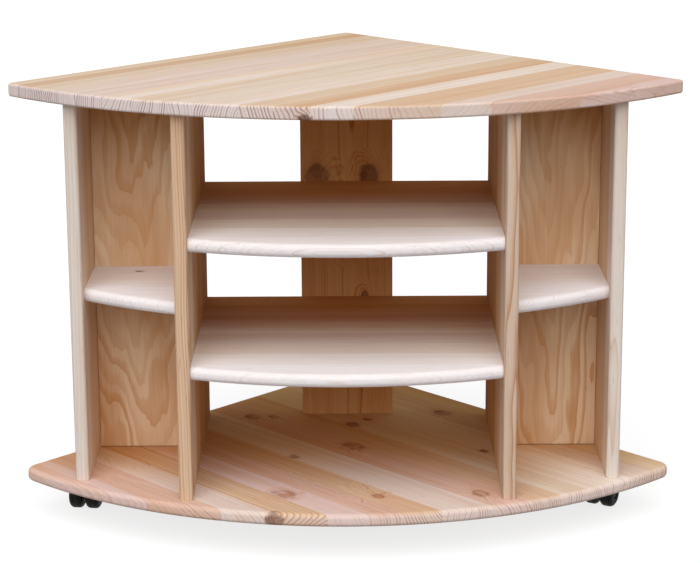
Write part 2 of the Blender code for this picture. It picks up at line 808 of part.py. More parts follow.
def wheel_profile():
    """One wheel's section: radius, and distance out from its inner face. It is turned about the axle."""
    flat = WHEEL_WIDTH - WHEEL_SHOULDER
    rise = WHEEL_RADIUS - WHEEL_SHOULDER
    bore_radius = AXLE_RADIUS + FIT_GAP
    outer = arc((rise, flat), WHEEL_SHOULDER, math.pi / 2, 0, SHOULDER_STEPS)
    inner = arc((rise, WHEEL_SHOULDER), WHEEL_SHOULDER, 0, -math.pi / 2, SHOULDER_STEPS)
    cap = [
        (0, WHEEL_WIDTH - WHEEL_CAP_SUNK),
        (WHEEL_CAP_RADIUS - WHEEL_CAP_SUNK, WHEEL_WIDTH - WHEEL_CAP_SUNK),
        (WHEEL_CAP_RADIUS, WHEEL_WIDTH),
    ]
    bore_wall = [(bore_radius, 0), (bore_radius, WHEEL_BORE_DEPTH), (0, WHEEL_BORE_DEPTH)]
    return cap + outer + inner + bore_wall


wheel_mesh = turned(wheel_profile(), WHEEL_STEPS)
half_step = math.pi / WHEEL_STEPS


def wheel(name, side, swivel):
    """A wheel on one side of the web, standing on one of its flats."""
    obj = placed(name, wheel_mesh.copy(), (TRAIL, side * wheel_inner_face, axle_height))
    outward = Matrix.Rotation(math.radians(-90 * side), 4, "X")
    on_flat = Matrix.Rotation(side * (math.pi / 2 + half_step), 4, "Z")
    obj.rotation_euler = (outward @ on_flat).to_euler()
    obj.parent = swivel
    finish(obj, "black_wheel")
    shade(obj)


for corner, (x, d) in CASTOR_PLACES.items():
    swivel = bpy.data.objects.new(f"swivel_axis_{corner}", None)
    swivel.location = at(x, d, 0)
    swivel.rotation_euler = (0, 0, CASTOR_TURN[corner])
    STAND.objects.link(swivel)
    hood = placed(f"castor_hood_{corner}", hood_mesh.copy(), (0, 0, 0))
    hood.parent = swivel
    finish(hood, "black_hood")
    shade(hood)
    axle = placed(f"castor_axle_{corner}", axle_mesh.copy(), (TRAIL, 0, axle_height))
    axle.rotation_euler = (math.radians(90), 0, 0)
    axle.parent = swivel
    finish(axle, "steel")
    shade(axle)
    wheel(f"castor_wheel_{corner}_a", -1, swivel)
    wheel(f"castor_wheel_{corner}_b", 1, swivel)

bpy.context.view_layer.update()
for board in BOARDS.values():
    bore(board)
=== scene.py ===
"""A quarter-round corner stand for a television, in clear pine, on four twin-wheel castors."""

import math

import bmesh
import bpy
from mathutils import Matrix, Vector
from mathutils.geometry import tessellate_polygon


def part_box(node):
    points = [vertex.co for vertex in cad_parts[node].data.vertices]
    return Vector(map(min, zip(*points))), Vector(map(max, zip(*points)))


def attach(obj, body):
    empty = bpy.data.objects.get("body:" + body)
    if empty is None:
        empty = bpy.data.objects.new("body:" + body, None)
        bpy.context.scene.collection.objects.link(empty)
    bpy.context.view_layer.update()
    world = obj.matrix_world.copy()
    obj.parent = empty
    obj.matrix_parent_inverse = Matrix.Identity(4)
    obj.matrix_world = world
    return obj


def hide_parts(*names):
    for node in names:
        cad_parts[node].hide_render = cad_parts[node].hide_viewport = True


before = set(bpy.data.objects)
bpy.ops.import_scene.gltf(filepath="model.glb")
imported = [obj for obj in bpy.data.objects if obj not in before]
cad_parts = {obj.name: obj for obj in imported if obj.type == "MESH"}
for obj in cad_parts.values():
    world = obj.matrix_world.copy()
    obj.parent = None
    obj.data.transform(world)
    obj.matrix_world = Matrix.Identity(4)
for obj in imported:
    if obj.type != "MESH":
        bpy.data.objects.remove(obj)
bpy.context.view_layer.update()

# Base board: a quarter circle of edge-glued pine staves, planed flush and sanded.
# Its staves run along the right back edge, so the front rim shows long grain at the
# left and end grain at the right. Ten screws come up through it into the boards above.
BASE_LOW, BASE_HIGH = (corner.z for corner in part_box("base_board"))
BOARD_RADIUS = 0.640
BACK_CORNER_RADIUS = 0.008
BASE_CORNER_RADIUS = 0.018
BASE_EDGE_ROUND = 0.0065
ARC_STEPS = 60
CORNER_STEPS = 12
ROUND_STEPS = 6
SCREW_HEAD_RADIUS = 0.0046
SCREW_HEAD_HEIGHT = 0.0028
SCREW_SUNK = 0.0006
SCREW_RADIUS = 0.0025
SINK_ROOM = 0.0004
PIN_STEPS = 32
UP = Vector((0, 0, 1))
plan_centre = (BOARD_RADIUS + BACK_CORNER_RADIUS * (math.sqrt(2) - 1)) / 2


def plan(x, d):
    """World x and y of a place that is x across and d ahead of the back corner."""
    return (x, plan_centre - d)


def arc(centre, radius, start, end, steps):
    turns = [start + (end - start) * i / steps for i in range(steps + 1)]
    return [(centre[0] + radius * math.cos(a), centre[1] + radius * math.sin(a)) for a in turns]


def sector(corner_radius, inset=0.0):
    """Outline of a quarter circle ahead of the back corner, with its three corners rounded."""
    reach = math.sqrt((BOARD_RADIUS - corner_radius) ** 2 - corner_radius**2)
    across = (reach - corner_radius) / math.sqrt(2)
    ahead = (reach + corner_radius) / math.sqrt(2)
    lean = math.atan2(ahead, across)
    half = arc((0, 0), BOARD_RADIUS - inset, math.pi / 2, lean, ARC_STEPS)
    half += arc((across, ahead), corner_radius - inset, lean, -math.pi / 4, CORNER_STEPS)[1:]
    back = (0, BACK_CORNER_RADIUS * math.sqrt(2))
    half += arc(back, BACK_CORNER_RADIUS - inset, -math.pi / 4, -math.pi / 2, CORNER_STEPS // 2)
    return [plan(x, d) for x, d in half + [(-x, d) for x, d in half[-2:0:-1]]]


def over_edge(low, high, rounding):
    """Inset and height of each ring of points over a board's rounded rim, from below to above."""
    quarter = arc((0, 0), rounding, -math.pi / 2, 0, ROUND_STEPS)
    below = [(rounding - x, low + rounding + z) for x, z in quarter]
    return below + [(inset, low + high - z) for inset, z in reversed(below)]


def ring(body, centre, axis, radius, steps=PIN_STEPS):
    """A circle of points about an axis, or one point where the radius is nothing."""
    if radius == 0:
        return [body.verts.new(centre)]
    side = axis.orthogonal().normalized()
    other = axis.cross(side)
    turns = [2 * math.pi * i / steps for i in range(steps)]
    spokes = [side * math.cos(a) + other * math.sin(a) for a in turns]
    return [body.verts.new(centre + radius * spoke) for spoke in spokes]


def bridge(body, first, second):
    """Joins two rings of points with faces. A ring of one point makes a fan."""
    for i in range(max(len(first), len(second))):
        corners = [first[(i - 1) % len(first)], first[i % len(first)]]
        corners += [second[i % len(second)], second[(i - 1) % len(second)]]
        body.faces.new(dict.fromkeys(corners))


def filled(body, outer, holes=()):
    """Closes a flat outline with faces, and leaves its holes open."""
    if not holes:
        body.faces.new(outer)
        return
    loops = [outer, *holes]
    points = [point for loop in loops for point in loop]
    for corners in tessellate_polygon([[point.co for point in loop] for loop in loops]):
        body.faces.new([points[i] for i in corners])


def turned(body, centre, axis, profile, steps=PIN_STEPS):
    """Turns a profile of (radius, height) about an axis, and returns its last ring."""
    rings = [ring(body, centre + axis * height, axis, radius, steps) for radius, height in profile]
    for first, second in zip(rings, rings[1:]):
        bridge(body, first, second)
    return rings[-1]


def countersunk_hole(body, mouth, inward):
    """The countersink and pilot hole of a wood screw, below a face. Returns the hole's rim."""
    wide = SCREW_HEAD_RADIUS + SINK_ROOM
    rim = ring(body, mouth, inward, wide)
    narrow = SCREW_RADIUS + SINK_ROOM
    depth = SCREW_SUNK + SCREW_HEAD_HEIGHT
    steps = [(wide, SCREW_SUNK), (narrow, depth), (narrow, 2 * depth), (0, 2 * depth)]
    last = rim
    for radius, height in steps:
        after = ring(body, mouth + inward * height, inward, radius)
        bridge(body, last, after)
        last = after
    return rim


def linked(name, body):
    """A new object of that name from the mesh that was built."""
    bmesh.ops.recalc_face_normals(body, faces=body.faces)
    mesh = bpy.data.meshes.new(name)
    body.to_mesh(mesh)
    body.free()
    piece = bpy.data.objects.new(name, mesh)
    bpy.context.scene.collection.objects.link(piece)
    return piece


def smoothed(piece, angle=30):
    piece.data.shade_smooth()
    piece.data.set_sharp_from_angle(angle=math.radians(angle))
    even = piece.modifiers.new("even_faces", "WEIGHTED_NORMAL")
    even.keep_sharp = True


def lofted_board(name, outlines, sinks=(), inward=UP):
    """A board through a row of outlines, closed at both ends, with screw holes in the first end."""
    body = bmesh.new()
    loops = [[body.verts.new(point) for point in outline] for outline in outlines]
    for first, second in zip(loops, loops[1:]):
        bridge(body, first, second)
    filled(body, loops[0], [countersunk_hole(body, mouth, inward) for mouth in sinks])
    filled(body, loops[-1])
    board = linked(name, body)
    smoothed(board)
    return board


def paint(red, green, blue):
    """A colour from a paint card, 0 to 255 a channel, as the light that it gives back."""
    parts = [c / 255 for c in (red, green, blue)]
    return (*(c / 12.92 if c < 0.04 else ((c + 0.055) / 1.055) ** 2.4 for c in parts), 1.0)


def grey(value):
    return (value, value, value, 1.0)


class Wiring:
    """The shader nodes of one material, or of the room, added and joined one at a time."""

    def __init__(self, owner):
        owner.use_nodes = True
        self.owner = owner
        self.tree = owner.node_tree
        self.shader = self.tree.nodes.get("Principled BSDF")

    def join(self, value, socket):
        if isinstance(value, bpy.types.NodeSocket):
            self.tree.links.new(value, socket)
        elif value is not None:
            socket.default_value = value

    def add(self, kind, *values, **settings):
        made = self.tree.nodes.new("ShaderNode" + kind)
        for setting, value in settings.items():
            setattr(made, setting, value)
        for value, socket in zip(values, made.inputs):
            self.join(value, socket)
        return made

    def math(self, operation, *values):
        return self.add("Math", *values, operation=operation).outputs[0]

    def vector(self, operation, *values):
        made = self.add("VectorMath", *values, operation=operation)
        return made.outputs["Value" if operation in ("LENGTH", "DOT_PRODUCT") else "Vector"]

    def between(self, value, start, end, low=0.0, high=1.0):
        """Runs smoothly from low to high as the value goes from start to end."""
        made = self.add("MapRange", value, start, end, low, high)
        made.interpolation_type = "SMOOTHSTEP"
        return made.outputs[0]

    def noise(self, place, detail=2.0, colour=False):
        made = self.add("TexNoise", place)
        made.inputs["Scale"].default_value = 1.0
        made.inputs["Detail"].default_value = detail
        return made.outputs["Color" if colour else "Fac"]

    def chance(self, value, colour=False):
        """A number, or three, drawn at random for each whole value."""
        made = self.add("TexWhiteNoise", noise_dimensions="1D")
        self.join(value, made.inputs["W"])
        return made.outputs["Color" if colour else "Value"]

    def ramp(self, value, stops, interpolation="LINEAR"):
        made = self.add("ValToRGB", value)
        made.color_ramp.interpolation = interpolation
        points = made.color_ramp.elements
        while len(points) < len(stops):
            points.new(0.5)
        for point, (place, colour) in zip(points, stops):
            point.position = place
            point.color = colour if isinstance(colour, tuple) else grey(colour)
        return made.outputs["Color"]

    def mix(self, share, first, second, blend="MIX"):
        made = self.add("Mix", data_type="RGBA", blend_type=blend)
        self.join(share, made.inputs["Factor"])
        self.join(first, made.inputs[6])
        self.join(second, made.inputs[7])
        return made.outputs[2]

    def tinted(self, share, colour, tint):
        """The colour, multiplied by the tint where the share is one."""
        return self.mix(share, colour, self.mix(1.0, colour, (*tint, 1.0), "MULTIPLY"))

    def stretched(self, place, scales, shift=None):
        scaled = self.vector("MULTIPLY", place, scales)
        return self.vector("ADD", scaled, shift) if shift is not None else scaled

    def finish(self, colour, roughness, height, depth, strength=0.25):
        self.join(colour, self.shader.inputs["Base Color"])
        self.join(roughness, self.shader.inputs["Roughness"])
        bump = self.add("Bump")
        bump.inputs["Strength"].default_value = strength
        bump.inputs["Distance"].default_value = depth
        self.join(height, bump.inputs["Height"])
        self.join(bump.outputs[0], self.shader.inputs["Normal"])
        return self.owner


# Tones of sanded pine, of its end grain, and what late and warm wood and fibres take off, and the
# tint of painted shade towards the back.
PEARL = paint(243, 231, 221)
LILAC = paint(236, 220, 212)
CREAM = paint(236, 222, 206)
STRAW = paint(233, 212, 188)
PEACH = paint(230, 201, 174)
ROSE = paint(228, 196, 180)
MAUVE = paint(233, 207, 202)
END_GRAIN = (paint(240, 227, 227), paint(122, 78, 88))
LATE_TINT = (0.74, 0.48, 0.30)
WARM_TINT = (0.96, 0.87, 0.78)
PAINTED_SHADE_TINT = (0.87, 0.64, 0.35)
FIBRE_TINT = (0.90, 0.83, 0.76)
DASH_TINT = (0.66, 0.50, 0.40)
BARE_WOOD_GLOSS = 0.07
GRAIN_RELIEF = 0.0003
# How fine each pattern is, in a metre: along the grain, across it, and through the board.
BANDS = (1.3, 34.0, 34.0)
FIBRES = (14.0, 900.0, 900.0)
DASHES = (30.0, 620.0, 620.0)
KNOT_BLOTCHES = (75.0, 95.0, 95.0)
KNOT_PATCHES = (55.0, 75.0, 75.0)
PITH_DRIFTS = (1.6, 0.5, 0.5)
RING_RIPPLES = (5.0, 10.0, 10.0)
LINE_SWAYS = (1.0, 40.0, 40.0)
# Where each pattern sets in and where it is full, and how strong it is before and after.
BAND_SPAN = (0.40, 0.70, 0.0)
FIBRE_SPAN = (0.30, 0.72, 0.0, 0.65)
DASH_SPAN = (0.70, 0.80, 0.0, 0.8)
END_SPAN = (0.30, 0.92)
ROUGH_SPAN = (0.0, 1.2, 0.88, 0.76)
# End grain: how far it takes on its own early and late colours, and how much bolder it is.
END_EARLY, END_LATE, END_BOLDER = 0.80, 0.90, 0.5
PAINTED_SHADE_SWAY = 0.08
# Growth rings: where the pith lies beside a stave, and how the rings run round it.
RIFT = (0.028, 0.130, 0.040)
STAVE_SHIFT = (31.0, 17.0, 23.0)
PITH_WANDER = 0.025
LOG_TAPER = 0.030
RING_WAVES = 0.0080
LINE_WAVES = 1.2
RINGS_PER_METRE = 215.0
RINGS_SPREAD = 110.0
BOLD_LINES = 3.0
YEAR_CURVE, YEAR_SPREAD, YEAR_LEAST = 1.7, 1.1, 0.15
STAVE_SPREAD, STAVE_LEAST = 1.3, 0.35
YEAR_SEED, STAVE_SEED = 13.7, 77.5
GROWTH = [(0.0, 0.10), (0.25, 0.0), (0.55, 0.10), (0.80, 0.55), (0.92, 1.0), (1.0, 0.20)]
# Knots: the rings swirl round each one. A live knot is brown, and a dead one nearly black.
SWIRL_WIDTH = 2.2
SWIRL_PUSH = 1.7
KNOT_FLATTENED = (0.70, 1.0, 1.0)
KNOT_RAGGED = 0.9
KNOT_ENDS = 2.4
NO_KNOT = 10.0
KNOT_RINGS = 24.0
LIVE_KNOT = [
    (0.0, paint(180, 120, 88)), (0.12, paint(206, 150, 112)), (0.34, paint(190, 128, 94)),
    (0.46, paint(150, 90, 62)), (0.60, paint(206, 156, 116)), (1.0, paint(224, 184, 146)),
]
DEAD_KNOT = [
    (0.0, paint(84, 44, 28)), (0.12, paint(118, 68, 42)), (0.34, paint(90, 48, 30)),
    (0.46, paint(62, 32, 22)), (0.60, paint(160, 102, 64)), (1.0, paint(208, 158, 114)),
]
KNOT_HOLD = [(0.0, 0.80), (0.36, 0.78), (0.50, 0.62), (0.60, 0.25), (1.0, 0.0)]
KNOT_RING_TINT = (0.72, 0.62, 0.56)
KNOT_RING_SPAN = (-0.2, 1.0, 0.0, 0.4)
KNOT_PATCH_SPAN = (0.36, 0.58, 0.45, 1.0)
KNOT_LINE_SPAN = (1.0, 3.2, 3.5, 1.0)
KNOT_FADE = 2.0


def pine(name, box, along, across, edges, tones, knots=(), bold=(), seed=0.0,
         contrast=0.55, warmth=1.0, painted_shade=None, end=END_GRAIN, pith=RIFT, fineness=1.0):
    """Pine staves glued edge to edge. Each stave is a slice of its own log, with the growth
    rings laid round a pith near it, so that faces, edges and ends all show the same rings.
    edges are the joints between the staves, measured across them, and bold the staves with
    strong lines. A knot is its centre, the direction of its branch, its radius, how far along
    the branch it can be seen, and how dark it is: below nothing, only the rings swirl round it.
    painted_shade is painted shade towards the back: the world y where it starts, where it is full,
    and its tint.
    pith is how near and how far the pith lies to the side of a stave, and how high or low.
    end is the early and the late wood of the end grain, and fineness how close the rings are."""
    w = Wiring(bpy.data.materials.new(name))
    along, across = Vector(along).normalized(), Vector(across).normalized()
    axes = (along, across, along.cross(across))
    spot = w.add("TexCoord")
    here = spot.outputs["Object"]
    u, v, t = (w.vector("DOT_PRODUCT", here, tuple(axis)) for axis in axes)
    half_way = ((box[0] + box[1]) / 2).dot(axes[2])
    place = w.add("CombineXYZ", u, v, t).outputs[0]

    # Which stave this is, where its middle lies, and what it draws for itself.
    stave = w.math("MULTIPLY", u, 0.0)
    for edge in edges[1:-1]:
        stave = w.math("ADD", w.math("GREATER_THAN", v, edge), stave)
    stave_share = w.math("DIVIDE", w.math("ADD", stave, 0.5), len(tones))
    mean = (edges[-1] - edges[0]) / (len(edges) - 1)
    middle = w.math("MULTIPLY_ADD", stave, mean, edges[0] + mean / 2)
    drawn = w.chance(w.math("ADD", stave, seed + 0.5), colour=True)
    shift = w.vector("MULTIPLY", drawn, STAVE_SHIFT)
    side, deep, lean = w.add("SeparateColor", drawn).outputs
    side = w.math("SUBTRACT", side, 0.5)

    # How far this place lies from the pith of its stave's log.
    wander = w.math("SUBTRACT", w.noise(w.stretched(place, PITH_DRIFTS, shift), 1.0), 0.5)
    pith_v = w.math("MULTIPLY_ADD", side, 2 * (pith[1] - pith[0]), middle)
    pith_v = w.math("MULTIPLY_ADD", w.math("SIGN", side), pith[0], pith_v)
    pith_v = w.math("MULTIPLY_ADD", wander, PITH_WANDER, pith_v)
    pith_t = w.math("MULTIPLY_ADD", deep, 2 * pith[2], half_way - pith[2])
    aside, below = w.math("SUBTRACT", v, pith_v), w.math("SUBTRACT", t, pith_t)
    rings = w.vector("LENGTH", w.add("CombineXYZ", aside, below, 0.0).outputs[0])
    taper = w.math("MULTIPLY", w.math("SUBTRACT", lean, 0.5), LOG_TAPER)
    rings = w.math("MULTIPLY_ADD", u, taper, rings)
    waves = w.math("SUBTRACT", w.noise(w.stretched(place, RING_RIPPLES, shift), 2.0), 0.5)
    rings = w.math("MULTIPLY_ADD", waves, RING_WAVES, rings)

    # Each knot pushes the rings aside. nearest counts its radii from the closest one.
    nearest, darkness = None, None
    blotch = w.noise(w.stretched(place, KNOT_BLOTCHES), 2.5, colour=True)
    blotch = w.vector("SUBTRACT", blotch, (0.5, 0.5, 0.5))
    for centre, branch, radius, reach, dark in knots:
        local = Vector([Vector(centre).dot(axis) for axis in axes])
        branch = Vector([Vector(branch).dot(axis) for axis in axes]).normalized()
        off = w.vector("SUBTRACT", place, tuple(local))
        ragged = w.vector("MULTIPLY_ADD", blotch, (radius * KNOT_RAGGED,) * 3, off)
        ragged = w.vector("MULTIPLY", ragged, KNOT_FLATTENED)
        away = w.vector("LENGTH", w.vector("CROSS_PRODUCT", ragged, tuple(branch)))
        far = w.math("GREATER_THAN", w.vector("LENGTH", off), reach)
        steep = -1 / (SWIRL_WIDTH * radius) ** 2
        fall = w.math("EXPONENT", w.math("MULTIPLY", w.math("POWER", away, 2.0), steep))
        most = radius * SWIRL_PUSH
        push = w.math("MULTIPLY", fall, w.math("MULTIPLY_ADD", far, -most, most))
        rings = w.math("SUBTRACT", rings, push)
        if dark < 0:
            continue
        ratio = w.math("MULTIPLY_ADD", far, NO_KNOT, w.math("DIVIDE", away, radius))
        dark_here = w.math("MULTIPLY", w.math("LESS_THAN", ratio, KNOT_ENDS), dark)
        nearest = ratio if nearest is None else w.math("MINIMUM", nearest, ratio)
        darkness = dark_here if darkness is None else w.math("MAXIMUM", darkness, dark_here)

    # The years, counted out from the pith, and how strong each year's late wood is.
    wander = w.noise(w.stretched(place, LINE_SWAYS, shift), 1.0)
    per_metre = w.math("MULTIPLY_ADD", lean, RINGS_SPREAD * fineness, RINGS_PER_METRE * fineness)
    count = w.math("MULTIPLY_ADD", rings, per_metre, w.math("MULTIPLY", wander, LINE_WAVES))
    part = w.math("FRACT", count)
    late = w.ramp(part, GROWTH)
    year = w.chance(w.math("MULTIPLY_ADD", stave, YEAR_SEED, w.math("FLOOR", count)))
    strength = w.math("MULTIPLY_ADD", w.math("POWER", year, YEAR_CURVE), YEAR_SPREAD, YEAR_LEAST)
    figure = w.chance(w.math("ADD", stave, seed + STAVE_SEED))
    figure = w.math("MULTIPLY_ADD", figure, STAVE_SPREAD, STAVE_LEAST)
    strength = w.math("MULTIPLY", strength, figure)
    if bold:
        shares = [1.0 if i in bold else 1.0 / BOLD_LINES for i in range(len(tones))]
        lines = w.ramp(stave_share, [(i / len(tones), s) for i, s in enumerate(shares)], "CONSTANT")
        strength = w.math("MULTIPLY", strength, w.math("MULTIPLY", lines, BOLD_LINES))
    if nearest is not None:
        strength = w.math("MULTIPLY", strength, w.between(nearest, *KNOT_LINE_SPAN))

    # The stave's own colour, and then early and late wood, on faces and on ends.
    stops = [(i / len(tones), colour) for i, colour in enumerate(tones)]
    tone = w.ramp(stave_share, stops, "CONSTANT")
    bands = w.noise(w.stretched(place, BANDS, shift), 2.0)
    tone = w.tinted(w.between(bands, *BAND_SPAN, warmth), tone, WARM_TINT)

    facing = w.math("ABSOLUTE", w.vector("DOT_PRODUCT", spot.outputs["Normal"], tuple(along)))
    endness = w.between(facing, *END_SPAN)
    early = w.mix(w.math("MULTIPLY", endness, END_EARLY), tone, end[0])
    darker = w.mix(1.0, tone, (*LATE_TINT, 1.0), "MULTIPLY")
    darker = w.mix(w.math("MULTIPLY", endness, END_LATE), darker, end[1])
    shown = w.math("MULTIPLY_ADD", endness, END_BOLDER, contrast)
    strength = w.math("MULTIPLY", strength, shown)
    late = w.math("MULTIPLY", late, w.math("MINIMUM", strength, 1.0))
    colour = w.mix(late, early, darker)

    # Fine fibres, resin dashes, the hearts of the knots, and painted shade that darkens the wood
    # towards the back.
    fibres = w.noise(w.stretched(place, FIBRES, shift), 3.0)
    colour = w.tinted(w.between(fibres, *FIBRE_SPAN), colour, FIBRE_TINT)
    dashes = w.noise(w.stretched(place, DASHES, shift), 1.0)
    colour = w.tinted(w.between(dashes, *DASH_SPAN), colour, DASH_TINT)

    if nearest is not None:
        far_out = w.math("DIVIDE", nearest, KNOT_FADE)
        heart = w.mix(darkness, w.ramp(far_out, LIVE_KNOT), w.ramp(far_out, DEAD_KNOT))
        turns = w.math("SINE", w.math("MULTIPLY", nearest, KNOT_RINGS))
        heart = w.tinted(w.between(turns, *KNOT_RING_SPAN), heart, KNOT_RING_TINT)
        hold = w.ramp(far_out, KNOT_HOLD)
        patchy = w.noise(w.stretched(place, KNOT_PATCHES), 1.0)
        patchy = w.math("MAXIMUM", w.between(patchy, *KNOT_PATCH_SPAN), darkness)
        hold = w.math("MULTIPLY", hold, patchy)
        colour = w.mix(hold, colour, heart)
    # Painted shade: the wood darkens towards the back of the stand, by world y.
    if painted_shade is not None:
        start, full, tint = painted_shade
        sway = w.math("MULTIPLY", w.math("SUBTRACT", bands, 0.5), PAINTED_SHADE_SWAY)
        y = w.math("ADD", w.add("SeparateXYZ", here).outputs["Y"], sway)
        colour = w.tinted(w.between(y, start, full), colour, tint)

    roughness = w.between(w.math("MULTIPLY_ADD", fibres, 0.4, late), *ROUGH_SPAN)
    w.shader.inputs["Specular IOR Level"].default_value = BARE_WOOD_GLOSS
    relief = w.math("MULTIPLY_ADD", late, 0.6, w.math("MULTIPLY", fibres, 0.4))
    return w.finish(colour, roughness, relief, GRAIN_RELIEF)


def fitted(piece, material, node, body="carcass"):
    """Gives a piece its material, and puts it on its body in place of its plain node."""
    piece.data.materials.append(material)
    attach(piece, body)
    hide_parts(node)


BASE_EDGES = [
    -0.415, -0.372, -0.327, -0.286, -0.243, -0.205, -0.170, -0.128, -0.086,
    -0.069, -0.017, 0.026, 0.068, 0.103, 0.146, 0.188, 0.225,
]
BASE_TONES = [
    MAUVE, ROSE, LILAC, PEACH, MAUVE, ROSE, PEACH, LILAC,
    LILAC, ROSE, PEACH, CREAM, PEARL, PEARL, LILAC, STRAW,
]
BASE_BOLD = (3, 14)
PINK_END = (paint(240, 221, 215), paint(178, 134, 130))
RIM_MIDDLE = 0.0580
BASE_KNOTS = [
    ((-0.0851, -0.2419, BASE_HIGH), (0.2, 0.1, 1), 0.0125, 0.03, 0.15),
    ((-0.0839, -0.1961, BASE_HIGH), (0.1, 0.2, 1), 0.012, 0.04, -1),
    ((-0.0759, -0.0958, BASE_HIGH), (0.5, 0.2, 1), 0.0045, 0.03, 0.7),
    ((-0.1418, 0.0773, BASE_HIGH), (0.3, 0.0, 1), 0.0085, 0.03, 0.45),
    ((-0.1105, 0.0769, BASE_HIGH), UP, 0.0055, 0.03, 0.35),
    ((0.0072, 0.0408, BASE_HIGH), UP, 0.0075, 0.03, 0.75),
    ((0.0294, 0.0619, BASE_HIGH), UP, 0.0050, 0.03, 0.45),
    ((0.1420, 0.0908, BASE_HIGH), (0.2, 0.3, 1), 0.0095, 0.03, 0.5),
    ((0.0070, -0.0538, BASE_HIGH), (0.3, 0.1, 1), 0.0115, 0.03, 0.2),
    ((0.1780, -0.2418, BASE_HIGH), UP, 0.0090, 0.03, 0.3),
    ((0.1934, -0.0761, BASE_HIGH), UP, 0.0045, 0.03, 0.9),
    ((0.0410, -0.2504, BASE_HIGH), UP, 0.0060, 0.03, 0.1),
    ((0.0210, -0.2350, BASE_HIGH), UP, 0.0150, 0.04, -1),
    ((-0.3362, -0.1341, BASE_HIGH), UP, 0.0140, 0.04, -1),
    ((-0.2922, -0.1570, BASE_HIGH), UP, 0.0120, 0.04, -1),
    ((-0.0958, -0.3111, RIM_MIDDLE), (-0.1, 1, 0.1), 0.0095, 0.014, 0.8),
]
base_screws = [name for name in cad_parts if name.startswith("screw") and "shelf" not in name]
base_sinks = []
for name in base_screws:
    low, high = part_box(name)
    base_sinks.append(Vector(((low.x + high.x) / 2, (low.y + high.y) / 2, BASE_LOW)))
# Painted shade: the base darkens towards the back of the stand.
base_pine = pine(
    "pine_base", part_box("base_board"), (1, -1, 0), (1, 1, 0), BASE_EDGES, BASE_TONES, BASE_KNOTS,
    BASE_BOLD, seed=3, contrast=0.70, warmth=0.7, painted_shade=(-0.22, -0.02, PAINTED_SHADE_TINT), end=PINK_END,
)
base = lofted_board(
    "base",
    [
        [(x, y, z) for x, y in sector(BASE_CORNER_RADIUS, inset)]
        for inset, z in over_edge(BASE_LOW, BASE_HIGH, BASE_EDGE_ROUND)
    ],
    base_sinks,
)
fitted(base, base_pine, "base_board")

# Castor plates: square zinc-plated plates under the base, each held by four pan-head screws,
# with the steel kingpin that the hood turns on riveted through the middle.
CORNERS = ("front_left", "front_right", "back_left", "back_right")
PLATE_SIZE = 0.039
PLATE_CORNER_RADIUS = 0.004
PLATE_EDGE_ROUND = 0.0004
PLATE_SCREW_REACH = 0.0198
PLATE_SCREW_PROFILE = [
    (0, 0.0122), (0.00175, 0.0104), (0.00175, 0), (0.0034, 0), (0.0034, -0.0007), (0.0028, -0.0013),
]
RECESS_REACH = 0.0018
RECESS_WIDTH = 0.0004
RECESS_DEPTH = 0.0009
RECESS_TAPER = 0.55
METAL_SCRATCHES = (260.0, 2600.0, 900.0)
METAL_CLOUD_SPAN = (0.35, 0.68)
METAL_RELIEF = 0.00003


def rounded_square(half, radius, steps=4):
    points = []
    for quarter, (x, y) in enumerate(((1, 1), (-1, 1), (-1, -1), (1, -1))):
        start = quarter * math.pi / 2
        centre = (x * (half - radius), y * (half - radius))
        points += arc(centre, radius, start, start + math.pi / 2, steps)
    return points


def crossed_screw(body, face, inward, profile, size=1.0):
    """A turned screw whose head has a cross recess. The profile ends at the head's outer face."""
    rim = turned(body, face, inward, profile)
    radius, height = profile[-1]
    side = inward.orthogonal().normalized()
    other = inward.cross(side)
    reach, half = RECESS_REACH * size, RECESS_WIDTH * size
    arm = [(reach, -half), (reach, half), (half, half)]
    cross = []
    for _ in range(4):
        cross += arm
        arm = [(-y, x) for x, y in arm]

    def cut(depth, scale):
        middle = face + inward * (height + depth)
        return [body.verts.new(middle + (side * x + other * y) * scale) for x, y in cross]

    mouth, bottom = cut(0, 1.0), cut(RECESS_DEPTH * size, RECESS_TAPER)
    filled(body, rim, [mouth])
    bridge(body, mouth, bottom)
    filled(body, bottom)


def metal(name, bright, dull, roughness, grain):
    """Plated or plain metal, with the faint cloudiness and fine scratches of a cheap fitting."""
    w = Wiring(bpy.data.materials.new(name))
    here = w.add("TexCoord").outputs["Object"]
    clouds = w.noise(w.stretched(here, (grain,) * 3), 3.0)
    scratches = w.noise(w.stretched(here, METAL_SCRATCHES), 2.0)
    colour = w.mix(w.between(clouds, *METAL_CLOUD_SPAN), bright, dull)
    w.shader.inputs["Metallic"].default_value = 1.0
    rough = w.math("MULTIPLY_ADD", clouds, 0.25, roughness - 0.10)
    return w.finish(colour, w.math("MULTIPLY_ADD", scratches, 0.12, rough), scratches, METAL_RELIEF)


